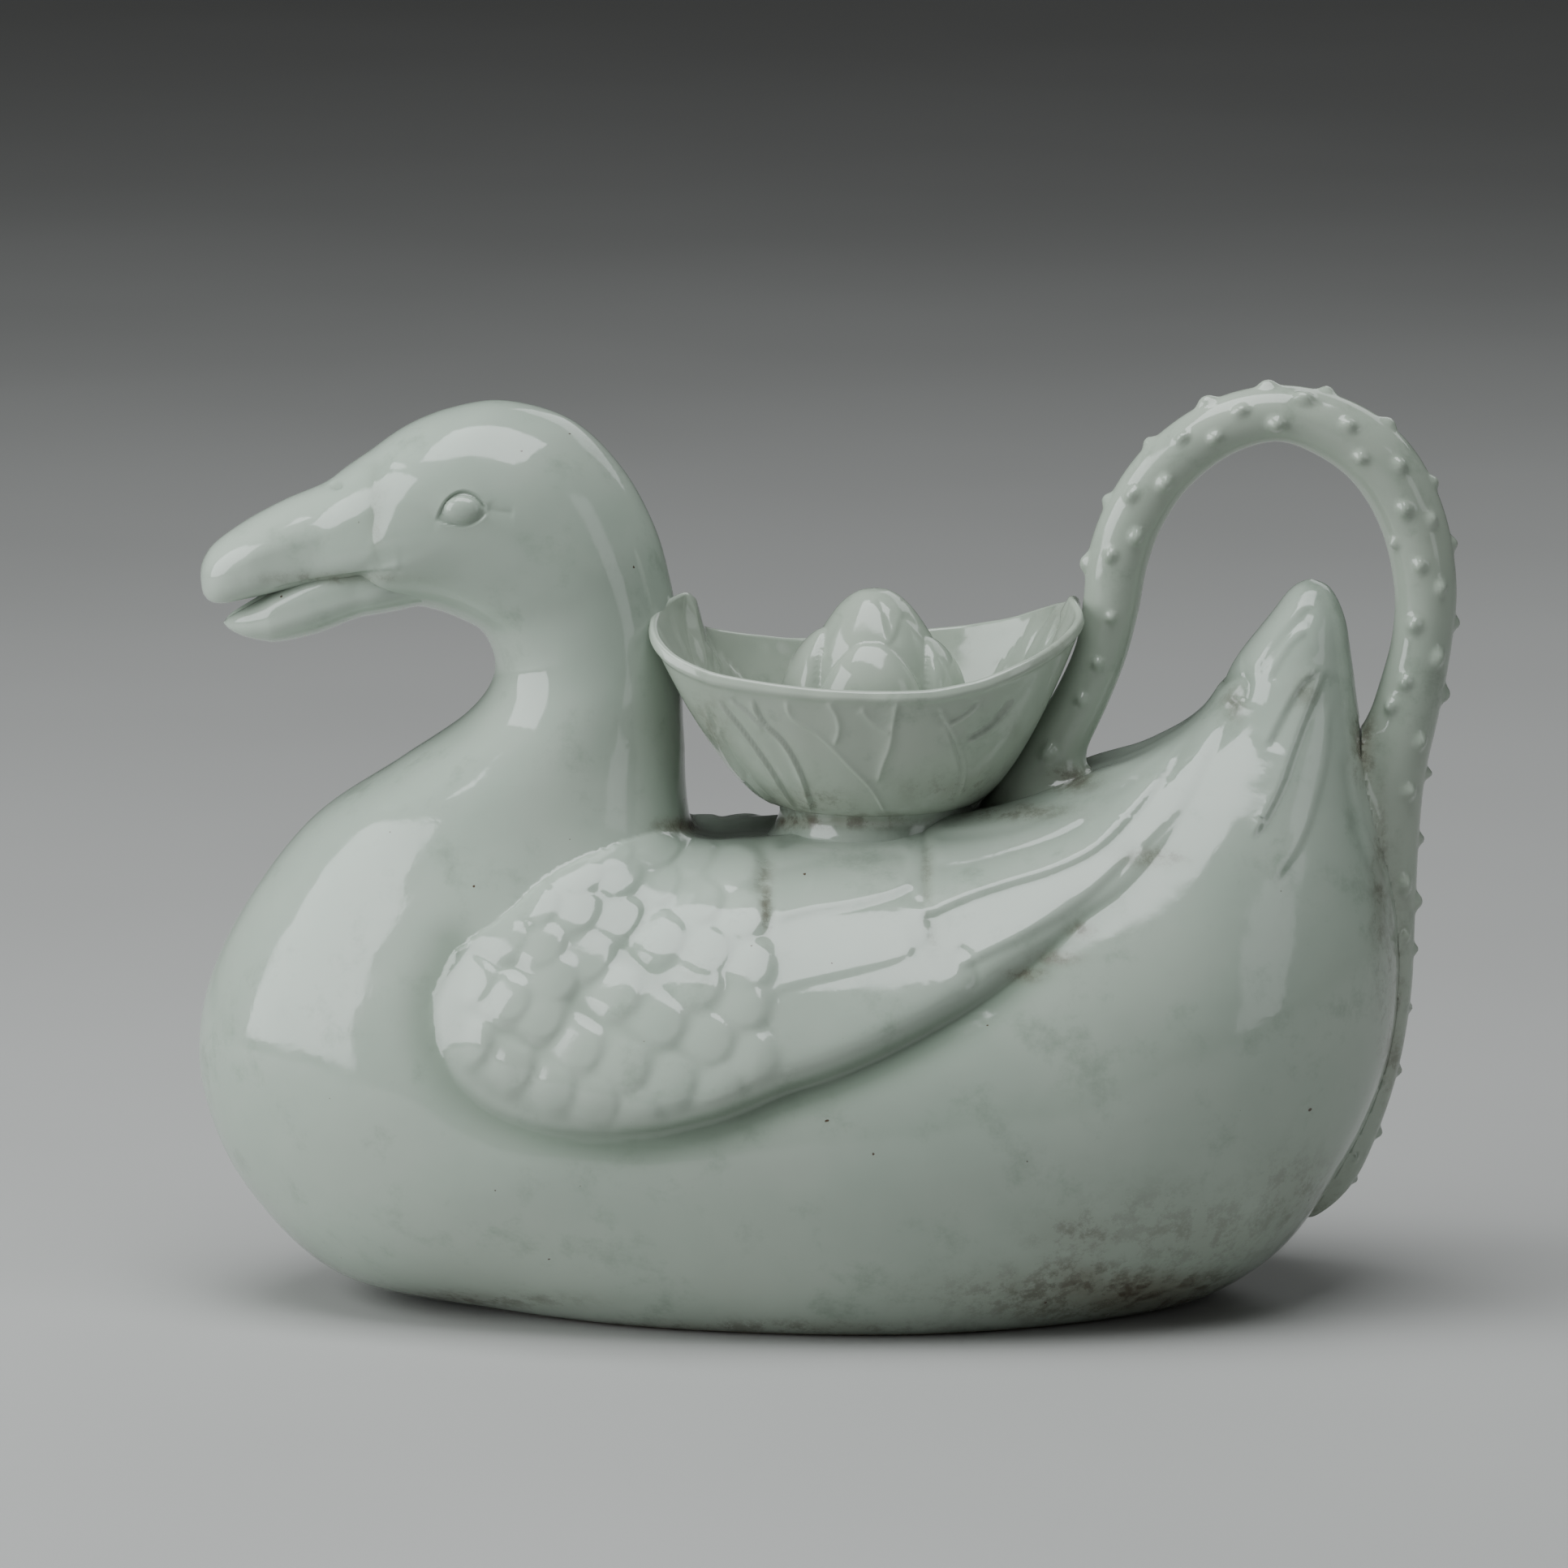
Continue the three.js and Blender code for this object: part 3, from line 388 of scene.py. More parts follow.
TAIL_LINES = [
    (0.32, 16, -0.44, 12, [(1546, 830), (1562, 806), (1580, 782), (1600, 760), (1614, 744)]),
    (0.38, 8, -0.32, 16, [(1562, 838), (1578, 812), (1592, 792), (1612, 776)]),
    (0.51, 10, -0.58, 10, [(1560, 924), (1576, 892), (1590, 866), (1606, 842), (1630, 822)]),
    (0.58, 13, -0.38, 21, [
        (1542, 1036), (1562, 1004), (1580, 966), (1594, 926), (1608, 888), (1624, 850), (1634, 822),
    ]),
    (0.26, 16, -0.2, 16, [(1568, 1092), (1602, 1042), (1622, 990), (1636, 930), (1640, 860)]),
    (-0.51, 9, -0.7, 9, [(1530, 868), (1536, 850), (1534, 836), (1522, 834), (1496, 842)]),
    (-0.26, 8, -0.26, 8, [(1506, 888), (1512, 874), (1520, 864)]),
    (0.32, 16, -0.51, 12, [
        (1660, 922), (1667, 976), (1676, 1014), (1686, 1052), (1702, 1090), (1716, 1134),
        (1726, 1180),
    ]),
    (-0.32, 6, -0.32, 6, [(1672, 884), (1680, 906), (1684, 936)]),
]
HEAD_LINES = [
    (-0.5, 34, -0.5, 26, [(462, 560), (459, 600), (459, 640), (461, 675), (476, 709)]),
    (0.3, 12, -0.25, 8, [(330, 726), (369, 716), (420, 708), (476, 702), (496, 700)]),
    (-0.3, 12, -0.3, 8, [(348, 784), (390, 772), (425, 764), (450, 755), (476, 752)]),
    (0.3, 8, -0.5, 4, [(536, 643), (550, 616), (569, 605), (588, 611), (601, 628)]),
    (-0.45, 4, 0.2, 8, [(536, 641), (556, 647), (575, 648), (591, 641), (601, 631)]),
    (-0.22, 5, -0.16, 5, [(600, 628), (616, 631), (634, 633)]),
]

# The eye, the nostril and the bulge over it: place and half sizes in the photograph

EYE_PLACE = (570, 627)
EYE_RADII = (23, 16)
EYE_RISE = 1.35
NOSTRIL_PLACE = (414, 598)
NOSTRIL_RADII = (9, 5)
NOSTRIL_DEPTH = 0.5
NOSTRIL_POWER = 3
BROW_PLACE = (427, 575)
BROW_RADII = (46, 30)
BROW_RISE = 0.35

# The shoulder's scales: the places of their rounded free ends in the photograph

SCALES = [
    (752, 1056), (805, 1055), (857, 1072), (911, 1090), (716, 1084),
    (760, 1090), (815, 1107), (868, 1130), (920, 1146), (665, 1122), (712, 1133), (766, 1146),
    (822, 1172), (877, 1188), (930, 1204), (625, 1162), (672, 1173), (732, 1193), (769, 1236),
    (822, 1270), (867, 1226), (882, 1290), (924, 1250), (934, 1312), (586, 1212), (632, 1239),
    (675, 1262), (724, 1300), (779, 1320), (836, 1338), (584, 1288), (638, 1320), (690, 1346),
    (742, 1362), (792, 1376), (690, 1216), (892, 1346),
]
SCALE_RADIUS = 31
SCALE_LENGTH = 64
SCALE_CREST = 4  # how far past its place a scale is highest
SCALE_END = 0.8  # of its radius, how far its rounded end reaches
SCALE_HEADING = math.radians(33)
SCALE_HEIGHT = 0.95
SCALE_CROWN = 0.15  # share of that height that it loses towards its edge
SCALE_BLEND = 5  # larger where one scale ends more sharply on the next
SCALE_SOFTNESS = 0.36  # of its radius, over which a scale's edge falls
SHOULDER_FRONT = (548, 600)  # across the photograph, from no scales to full ones
SHOULDER_REAR = (985, 930)

# Stains in the glaze, and painted shade in grooves, under the wing's edge, round the cup's foot,
# at the stem's root and along the base: centre, half width, half height and strength, in the
# photograph

STAINS_AND_SHADE = [
    (845, 1017, 34, 9, 1.0), (1000, 1012, 130, 9, 0.9), (944, 1118, 7, 34, 0.8),
    (940, 1080, 12, 22, 0.5), (1142, 1080, 7, 50, 0.35), (1150, 1150, 6, 20, 0.35),
    (1265, 1200, 22, 9, 0.75), (1300, 1180, 26, 9, 0.75), (1333, 1146, 16, 10, 0.6),
    (1420, 1056, 40, 12, 0.5), (1240, 1000, 70, 10, 0.6), (1320, 960, 30, 14, 0.8),
    (1520, 866, 16, 22, 0.45), (1608, 848, 16, 26, 0.35), (1680, 920, 14, 46, 0.8),
    (1700, 1090, 10, 120, 0.5), (1716, 1260, 14, 160, 0.45), (1400, 1596, 180, 34, 1.0),
    (1330, 1575, 60, 26, 0.8), (1335, 1520, 60, 34, 0.45), (1470, 1520, 150, 60, 0.3),
    (1600, 1480, 60, 60, 0.35), (560, 1602, 130, 10, 0.6), (900, 1636, 300, 9, 0.5),
    (410, 712, 90, 7, 0.45), (463, 640, 8, 40, 0.25), (570, 627, 34, 24, 0.12),
    (1290, 760, 30, 40, 0.35), (870, 905, 26, 40, 0.4), (985, 990, 60, 18, 0.5),
    (1180, 970, 60, 20, 0.4),
]

# Where the skin is meshed finer, as boxes of the photograph: left, top, right, bottom

FINE_AREAS = [
    (530, 1010, 1560, 1410),
    (1380, 700, 1740, 1200),
    (300, 560, 660, 800),
    (525, 590, 645, 662),
]
BARE_HEIGHTS = (0.75, 0.35)  # from where the glaze ends to where the foot is quite bare

# Colours and finishes

GLAZE = (0.425, 0.49, 0.42)
# Darker green of pooled glaze, which also paints shade in carved lines and under the wing's edge
GLAZE_POOL_AND_SHADE = (0.215, 0.275, 0.215)
LEAF = (0.42, 0.475, 0.4)
LEAF_POOLED = (0.2, 0.25, 0.195)
GLAZE_IOR = 1.58
GLAZE_CLOUD = (0.9, 0.93, 0.92)  # share of the glaze's colour that its darker clouds keep
# Stain colours, which also paint shade where the stains lie in grooves, under overhangs and at
# joints
VEIL_AND_SHADE = (0.2, 0.19, 0.14)
DIRT_AND_SHADE = (0.095, 0.08, 0.055)
SPECK = (0.1, 0.07, 0.05)
FOOT_PALE = (0.58, 0.54, 0.46)
FOOT_DARK = (0.36, 0.3, 0.22)
CLAY_PALE = (0.62, 0.56, 0.47)
CLAY_DARK = (0.5, 0.42, 0.32)
CLAY_GRIT = (0.3, 0.22, 0.15)
FLOOR_PALE = (0.44, 0.44, 0.43)
FLOOR_DARK = (0.41, 0.41, 0.4)
FLOOR_ROUGHNESS = 0.7
LIGHT_COLOUR = (0.95, 0.985, 1)
SURROUNDINGS = (0.8, 0.81, 0.8, 1)

# The stage, in metres: half the floor's side, and each light's place, size and power

FLOOR_REACH = 8
SURROUNDINGS_STRENGTH = 0.05
LIGHT_TARGET = (0, 0, 0.08)
LIGHTS = {
    "top": ((-0.1, -0.22, 1.25), (1.1, 0.8), 16),
    "key": ((-0.95, -0.3, 0.48), (0.85, 0.9), 12),
    "fill": ((1.0, -0.7, 0.45), (0.35, 0.8), 1),
    "rear": ((0.5, 0.9, 0.8), (0.9, 0.5), 2),
}

# Arithmetic


def smoothly(low, high, value):
    """0 below low, 1 above high, and a smooth step between."""
    share = np.clip((value - low) / (high - low), 0, 1)
    return share * share * (3 - 2 * share)


def through(table, stations):
    """Rows of a table read at any station, on the smooth curve through its equally spaced rows."""
    table = np.asarray(table, float)
    padded = np.vstack([2 * table[0] - table[1], table, 2 * table[-1] - table[-2]])
    row = np.clip(np.floor(stations).astype(int), 0, len(table) - 2)
    w = (stations - row)[:, None]
    a, b, c, d = (padded[row + k] for k in range(4))
    return b + 0.5 * w * (c - a + w * (2 * a - 5 * b + 4 * c - d + w * (3 * (b - c) + d - a)))


def oval(angles, upper, lower):
    """Height and width of a rounded section at angles from its top, 2 for an oval half and
    more for a squarer one."""
    up, across = np.cos(angles), np.sin(angles)
    power = 2 / np.where(up < 0, lower, upper)
    return np.sign(up) * np.abs(up) ** power, np.sign(across) * np.abs(across) ** power


def camera_axes():
    """Unit vectors from the target to the camera, to the right and up."""
    right = np.array([math.cos(CAMERA_AZIMUTH), math.sin(CAMERA_AZIMUTH), 0.0])
    level = np.array([right[1], -right[0], 0.0])
    back = level * math.cos(CAMERA_ELEVATION) + [0, 0, math.sin(CAMERA_ELEVATION)]
    return back, right, np.cross(back, right)


def in_photo(points, mirrored=True):
    """The pixels where points would show, with the far side mirrored onto the near one."""
    near = points.copy()
    if mirrored:
        near[:, 1] = -np.abs(points[:, 1])
    back, right, up = camera_axes()
    away = near - (CAMERA_TARGET + back * CAMERA_DISTANCE)
    scale = CAMERA_DISTANCE / -(away @ back) / PIXEL
    middle = PHOTO_PIXELS / 2
    return np.stack([middle + (away @ right) * scale, middle - (away @ up) * scale], 1)


def turns(count, start=0):
    """Equally spaced angles all the way round."""
    return np.linspace(start, start + 2 * math.pi, count, endpoint=False)


def turn_between(angle, angles):
    """How far angles are turned from one angle, the short way round."""
    return (angles - angle + math.pi) % (2 * math.pi) - math.pi


def around_axis(angles):
    """Level unit vectors at angles from the tail."""
    return np.stack([np.cos(angles), np.sin(angles), np.zeros(len(angles))], 1)


def turned(profiles, around):
    """Points in space for profiles of radius and height, one for each direction around."""
    return profiles[:, :, :1] * around[:, None] + profiles[:, :, 1:] * [0, 0, 1] + [FILLER_X, 0, 0]


def smooth_line(places):
    """A smooth line of pixels through the given ones."""
    places = np.asarray(places, float)
    length = np.linalg.norm(np.diff(places, axis=0), axis=1).sum()
    count = max(int(length / LINE_STEP), len(places))
    return through(places, np.linspace(0, len(places) - 1, count))


def to_line(pixels, line, reach):
    """For the pixels within reach of a line: which they are, distance, side and share along it.
    The distance is negative on the side that is above a line drawn from left to right."""
    near = (pixels > line.min(0) - reach) & (pixels < line.max(0) + reach)
    which = np.flatnonzero(near.all(1))
    step = np.diff(line, axis=0)
    offset = pixels[which, None, :] - line[:-1]
    share = np.clip((offset * step).sum(2) / (step * step).sum(1), 0, 1)
    gap = offset - share[:, :, None] * step
    nearest = np.linalg.norm(gap, axis=2).argmin(1)
    rows = np.arange(len(which))
    along = (nearest + share[rows, nearest]) / len(step)
    step, gap = step[nearest], gap[rows, nearest]
    side = np.sign(step[:, 0] * gap[:, 1] - step[:, 1] * gap[:, 0])
    return which, np.linalg.norm(gap, axis=1) * side, along


def inside(pixels, outline):
    """Which pixels lie inside a closed outline."""
    outline = np.asarray(outline, float)
    crossings = np.zeros(len(pixels), int)
    for (x0, y0), (x1, y1) in zip(outline, np.roll(outline, -1, axis=0)):
        if y0 == y1:
            continue
        spans = (pixels[:, 1] >= min(y0, y1)) & (pixels[:, 1] < max(y0, y1))
        crossing_x = x0 + (pixels[:, 1] - y0) * (x1 - x0) / (y1 - y0)
        crossings += spans & (crossing_x > pixels[:, 0])
    return crossings % 2 == 1


# Meshes


def object_of(name, mesh):
    piece = bpy.data.objects.new(name, mesh)
    bpy.context.scene.collection.objects.link(piece)
    return piece


def solid_object(name, points, faces):
    """A closed mesh from points in millimetres, facing outwards."""
    mesh = bpy.data.meshes.new(name)
    mesh.from_pydata((np.asarray(points) * MM).tolist(), [], faces)
    form = bmesh.new()
    form.from_mesh(mesh)
    if form.calc_volume(signed=True) < 0:
        bmesh.ops.reverse_faces(form, faces=form.faces)
    form.to_mesh(mesh)
    form.free()
    mesh.shade_smooth()
    return object_of(name, mesh)


def vectors_of(mesh, what):
    values = np.zeros(len(mesh.vertices) * 3, np.float32)
    mesh.vertices.foreach_get(what, values)
    return values.reshape(-1, 3).astype(float)


def points_of(mesh):
    """A mesh's points, in millimetres."""
    return vectors_of(mesh, "co") / MM


def move_points(mesh, points):
    mesh.vertices.foreach_set("co", (points * MM).astype(np.float32).ravel())
    mesh.update()


def paint(mesh, name, values):
    """Stores a value for each point, which a material reads by its name."""
    layer = mesh.attributes.new(name, "FLOAT", "POINT")
    layer.data.foreach_set("value", np.asarray(values, np.float32))


def stain_and_shade(piece):
    """Stores how stained or painted with shade each point of a piece is, and where the glaze has
    left its foot bare.
    """
    points = points_of(piece.data)
    pixels = in_photo(points)
    # Real stains and painted shade, gathered in one mask
    dirt_and_shade = np.zeros(len(points))
    for x, y, half_width, half_height, strength in STAINS_AND_SHADE:
        reach = np.hypot((pixels[:, 0] - x) / half_width, (pixels[:, 1] - y) / half_height)
        dirt_and_shade = np.maximum(dirt_and_shade, strength * np.exp(-(reach**2)))
    paint(piece.data, "grime_and_shade", dirt_and_shade)
    paint(piece.data, "bare", smoothly(*BARE_HEIGHTS, points[:, 2]))


def ring_faces(rings, sides, closed=False):
    """Quads between rings of points; closed also joins the last ring to the first."""
    faces = []
    for ring in range(rings if closed else rings - 1):
        here = ring * sides
        there = (ring + 1) % rings * sides
        for side in range(sides):
            after = (side + 1) % sides
            faces.append((here + side, here + after, there + after, there + side))
    return faces


def tube_object(name, rings, first_pole, last_pole):
    """A closed skin over rings of points, with a pole at each end."""
    count, sides = rings.shape[:2]
    faces = ring_faces(count, sides)
    start = count * sides
    last = start - sides
    for side in range(sides):
        after = (side + 1) % sides
        faces.append((start, after, side))
        faces.append((start + 1, last + side, last + after))
    return solid_object(name, np.vstack([rings.reshape(-1, 3), [first_pole, last_pole]]), faces)


def hoop_object(name, sections):
    """A closed skin over sections that stand in a ring, each of them closed."""
    count, sides = sections.shape[:2]
    return solid_object(name, sections.reshape(-1, 3), ring_faces(count, sides, closed=True))


def settled(piece):
    """Applies an object's modifiers."""
    shaped = piece.evaluated_get(bpy.context.evaluated_depsgraph_get())
    mesh = bpy.data.meshes.new_from_object(shaped)
    piece.modifiers.clear()
    piece.data = mesh
    mesh.shade_smooth()
    return piece


def remeshed(piece):
    """An object with its skin meshed evenly and smoothed."""
    even = piece.modifiers.new("even", "REMESH")
    even.mode = "VOXEL"
    even.voxel_size = SKIN_VOXEL * MM
    relax = piece.modifiers.new("relax", "SMOOTH")
    relax.iterations = SKIN_SMOOTHING
    return settled(piece)


def cut(piece, *cutters):
    for cutter in cutters:
        modifier = piece.modifiers.new("cut", "BOOLEAN")
        modifier.operation = "DIFFERENCE"
        modifier.solver = "MANIFOLD"
        modifier.object = cutter
    bpy.context.view_layer.update()
    settled(piece)


def remove(*pieces):
    for piece in pieces:
        bpy.data.objects.remove(piece)


def round_bar(name, radius, start, end):
    start, end = np.asarray(start, float), np.asarray(end, float)
    along = (end - start) / np.linalg.norm(end - start)
    across = np.array([0.0, 1.0, 0.0])
    other = np.cross(along, across)
    angles = turns(BORE_SIDES)[:, None]
    section = radius * (np.cos(angles) * across + np.sin(angles) * other)
    return tube_object(name, np.stack([start + section, end + section]), start, end)


def tree_of(piece):
    """The searchable surface of an object, in millimetres."""
    points = points_of(piece.data)
    return BVHTree.FromPolygons(points.tolist(), [tuple(p.vertices) for p in piece.data.polygons])


# The duck's skin


def duck_rings(stations, sides, grow):
    """Rings of the duck's skin at stations, moved outwards by grow."""
    rows = through(STATIONS, stations)
    back, belly, half = rows[:, 0:2], rows[:, 2:4], rows[:, 4]
    middle = (back + belly) / 2
    towards_back = (back - belly) / 2
    height = np.linalg.norm(towards_back, axis=1)
    towards_back *= (np.maximum(height + grow, 0) / height)[:, None]
    last = len(STATIONS) - 1
    on_bill = smoothly(*BILL_STATIONS, stations) * smoothly(last, last - BILL_TIP_ROWS, stations)
    up, across = oval(turns(sides)[None, :], 2, 2 + BILL_SQUARENESS * on_bill[:, None])
    rings = np.zeros((len(stations), sides, 3))
    rings[:, :, [0, 2]] = middle[:, None, :] + towards_back[:, None, :] * up[:, :, None]
    rings[:, :, 1] = np.maximum(half + grow, 0)[:, None] * across
    return rings


def duck_source(name):
    """The duck's plain skin, before anything is carved in it."""
    last = len(STATIONS) - 1
    stations = np.linspace(SKIN_TIP, last - SKIN_TIP, SKIN_RINGS)
    tail_tip, bill_tip = ((x, 0, z) for x, z in STATIONS[[0, -1], :2])
    return tube_object(name, duck_rings(stations, SKIN_SIDES, 0), tail_tip, bill_tip)


def spout_bore():
    return round_bar("spout_bore", SPOUT_RADIUS, SPOUT_INSIDE, SPOUT_MOUTH)


def hollow():
    """What is cut out of the duck: its cavity, the filler hole and the spout's bore."""
    stations = np.linspace(*CAVITY_STATIONS, CAVITY_RINGS)
    rings = duck_rings(stations, BORE_SIDES, -BODY_WALL)
    rings[:, :, 2] = np.maximum(rings[:, :, 2], BASE_THICKNESS)
    cavity = tube_object("cavity", rings, rings[0].mean(0), rings[-1].mean(0))
    low, high = (FILLER_X, 0, BACK_HOLE_START), (FILLER_X, 0, cup_floor())
    filler = round_bar("filler", FILLER_RADIUS + BACK_HOLE_MARGIN, low, high)
    return cavity, filler, spout_bore()


def cup_floor():
    """Height of the leaf cup's underside."""
    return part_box("leaf_cup")[0].z / MM


def refine(piece, source_tree):
    """Cuts the skin's faces finer where it is carved, and lays them back on the source."""
    form = bmesh.new()
    form.from_mesh(piece.data)
    for left, top, right, bottom in FINE_AREAS:
        pixels = in_photo(np.array([v.co for v in form.verts]) / MM)
        chosen = ((pixels > (left, top)) & (pixels < (right, bottom))).all(1)
        form.verts.index_update()
        edges = [e for e in form.edges if chosen[e.verts[0].index] and chosen[e.verts[1].index]]
        bmesh.ops.subdivide_edges(form, edges=edges, cuts=1, use_grid_fill=True)
    form.to_mesh(piece.data)
    form.free()
    points = points_of(piece.data)
    laid = np.array([source_tree.find_nearest(point)[0] for point in points])
    move_points(piece.data, laid)


def carving(pixels, lines, softness):
    """Height of carved lines at each pixel: every line has its own height on either side, which
    fades away from it."""
    height = np.zeros(len(pixels))
    for above, above_reach, below, below_reach, places in lines:
        reach = LINE_REACH * max(above_reach, below_reach)
        which, offset, along = to_line(pixels, smooth_line(places), reach)
        under = smoothly(-softness, softness, offset)
        upper = above * np.exp(-np.maximum(-offset, 0) / above_reach)
        lower = below * np.exp(-np.maximum(offset, 0) / below_reach)
        ends = smoothly(0, LINE_ENDS, along) * smoothly(1, 1 - LINE_ENDS, along)
        height[which] += ((1 - under) * upper + under * lower) * ends
    return height


def scales(pixels):
    """Height of the shoulder's scales: each rises to its rounded free end, which stands over
    the roots of the next ones."""
    height = np.zeros(len(pixels))
    heading = np.array([math.cos(SCALE_HEADING), math.sin(SCALE_HEADING)])
    for place in SCALES:
        offset = pixels - place
        along = offset @ heading
        across = np.abs(offset @ (-heading[1], heading[0]))
        end = np.maximum(along / (SCALE_END * SCALE_RADIUS), 0)
        reach = np.hypot(end, across / SCALE_RADIUS)
        shape = smoothly(1 + SCALE_SOFTNESS, 1 - SCALE_SOFTNESS, reach)
        climb = smoothly(-SCALE_LENGTH, SCALE_CREST, along)
        mound = SCALE_HEIGHT * climb * shape * (1 - SCALE_CROWN * np.minimum(reach, 1) ** 2)
        height += np.exp(SCALE_BLEND * mound) - 1
    height = np.log(1 + height) / SCALE_BLEND
    return height * smoothly(*SHOULDER_FRONT, pixels[:, 0]) * smoothly(*SHOULDER_REAR, pixels[:, 0])


def distance_from(line, pixels):
    """Distance of each pixel from a line, where it is near it."""
    distance = np.full(len(pixels), EDGE_FAR)
    which, offset, _ = to_line(pixels, line, EDGE_SEARCH)
    distance[which] = np.abs(offset)
    return distance


def wing_relief(pixels, points):
    """The wing's rise over the body, rounded at its edge, with its feathers carved in it, and
    how darkly each place is painted with pooled glaze and shade, by how deep it lies in the carving
    and how near the wing's edge it is."""
    low = smooth_line(WING_LOW)
    top = smooth_line(WING_TOP)
    within = inside(pixels, np.vstack([low, WING_CLOSING, top[::-1]]))
    edge = distance_from(low, pixels)
    aside = np.abs(points[:, 1])
    front = smoothly(*WING_FRONT, pixels[:, 0])
    tip = smoothly(*WING_TIP, pixels[:, 0])
    places = np.stack([np.ones(len(pixels)), front, tip])
    rise, rounding, undercut = np.array([WING_RISE, WING_ROUNDING, UNDERCUT]) @ places
    beyond = -undercut * np.exp(-(edge / UNDERCUT_REACH) ** 2)
    upon = -undercut + (rise + undercut) * (1 - np.exp(-((edge / rounding) ** WING_EDGE_POWER)))
    upon *= 1 - np.exp(-distance_from(top, pixels) / WING_TOP_ROUNDING)
    relief = np.where(within, upon, beyond) * smoothly(*WING_SIDES, aside)

    feathers = scales(pixels) + carving(pixels, WING_LINES, SOFT_LINE)
    feathers *= smoothly(0, FEATHER_EDGE, edge) * smoothly(*FEATHER_SIDES, aside)

    corners = smoothly(*SCALE_CORNERS, pixels[:, 0]) * smoothly(0, SCALE_CORNERS_EDGE, edge)
    corners *= SCALE_CORNER_SHARE * SCALE_HEIGHT - feathers
    sunk = np.where(within, np.maximum(corners, -feathers), 0)
    reach = np.where(within, POOL_AND_SHADE_REACH, UNDERCUT_REACH)
    # Painted shade with pooled glaze, in a band along the wing's lower edge, wider below it where
    # the wing's shade falls
    edge_pool_and_shade = POOL_AND_SHADE_STRENGTH * undercut * np.exp(-((edge / reach) ** 2))
    return relief + np.where(within, feathers, 0), np.maximum(sunk, edge_pool_and_shade)


def dome(pixels, place, radii, power=2.0):
    """1 in the middle of an oval of pixels, falling round to 0 at its edge."""
    reach = np.hypot(*((pixels - place) / radii).T)
    return np.clip(1 - reach**power, 0, 1)


def head_relief(pixels):
    relief = EYE_RISE * np.sqrt(dome(pixels, EYE_PLACE, EYE_RADII))
    relief -= NOSTRIL_DEPTH * dome(pixels, NOSTRIL_PLACE, NOSTRIL_RADII, NOSTRIL_POWER)
    relief += BROW_RISE * dome(pixels, BROW_PLACE, BROW_RADII) ** 2
    return relief + carving(pixels, HEAD_LINES, SHARP_LINE)


def settle_on_floor(points):
    """Flattens what reaches below the floor, with a rounded edge."""
    z = points[:, 2]
    near = np.maximum(FLOOR_ROUNDING - np.abs(z), 0) / FLOOR_ROUNDING
    points[:, 2] = np.maximum(z, 0) + near**2 * FLOOR_ROUNDING / 4


def duck_form(source_tree):
    """The whole duck as one glazed skin: body, wings, tail, neck and head."""
    duck = remeshed(duck_source("duck_form"))
    refine(duck, source_tree)
    points = points_of(duck.data)
    normals = vectors_of(duck.data, "normal")
    pixels = in_photo(points)
    relief, sunk = wing_relief(pixels, points)
    lines = carving(pixels, TAIL_LINES, SOFT_LINE) + head_relief(pixels)
    points += normals * (relief + lines)[:, None]
    settle_on_floor(points)
    move_points(duck.data, points)
    # Pooled glaze and painted shade in carved lines, between the scales and along the wing's edge
    paint(duck.data, "pool_and_shade", np.clip(np.maximum(sunk, -lines) / POOL_AND_SHADE_DEPTH, 0, 1))
    cutters = hollow()
    cut(duck, *cutters)
    remove(*cutters)
    return duck


# Luting pieces onto the duck


def over_skin(tree, point):
    """How far a point stands over the skin, and the skin's normal there."""
    place, normal, _, _ = tree.find_nearest(point)
    return (Vector(point) - place).dot(normal), np.array(normal)


def luted(rings, direction, tree, fillets):
    """Spreads rings of points along the duck's skin where they cross it, as the glaze does in
    the corner, down to just inside the skin."""
    moved = rings.copy()
    for ring, side in np.ndindex(rings.shape[:2]):
        fillet = fillets[ring]
        point = rings[ring, side]
        above, normal = over_skin(tree, point)
        if abs(above) < fillet:
            share = 1 - abs(above) / fillet
            way = direction[ring, side]
            along = way - normal * (way @ normal)
            spread = point + along * fillet * (1 - math.sqrt(1 - share**2))
            drift, normal = over_skin(tree, spread)
            moved[ring, side] = spread + normal * (above - drift - LUTE_DEPTH * share**2)
    return moved


# The lower bill


def lower_bill_form(source_tree):
    stations = np.linspace(LOWER_BILL_START, len(LOWER_BILL) - 1, LOWER_BILL_RINGS)
    x, top, bottom, half = through(LOWER_BILL, stations).T
    up, across = oval(turns(LOWER_BILL_SIDES), *LOWER_BILL_POWERS)
    rings = np.zeros((LOWER_BILL_RINGS, LOWER_BILL_SIDES, 3))
    rings[:, :, 0] = x[:, None]
    rings[:, :, 1] = half[:, None] * across
    rings[:, :, 2] = ((top + bottom) / 2)[:, None] + ((top - bottom) / 2)[:, None] * up
    backwards = np.broadcast_to([1.0, 0.0, 0.0], rings.shape)
    rings = luted(rings, backwards, source_tree, JAW_FILLET * smoothly(*JAW, x))
    tip = (LOWER_BILL[0, 0], 0, LOWER_BILL[0, 1:3].mean())
    bill = tube_object("lower_bill_form", rings, tip, rings[-1].mean(0))
    bore = spout_bore()
    cut(bill, bore)
    remove(bore)
    return bill


# The stem


def stem_frames(shares):
    """Centres, outward directions and radii of the stem at shares of its length."""
    stations = shares * (len(STEM) - 1)
    rows = through(STEM, stations)
    ahead = through(STEM, np.minimum(stations + STEM_STEP, len(STEM) - 1))
    behind = through(STEM, np.maximum(stations - STEM_STEP, 0))
    tangent = (ahead - behind)[:, :2]
    tangent /= np.linalg.norm(tangent, axis=1)[:, None]
    centres = np.stack([rows[:, 0], np.zeros(len(rows)), rows[:, 1]], 1)
    outwards = np.stack([-tangent[:, 1], np.zeros(len(rows)), tangent[:, 0]], 1)
    return centres, outwards, rows[:, 2]


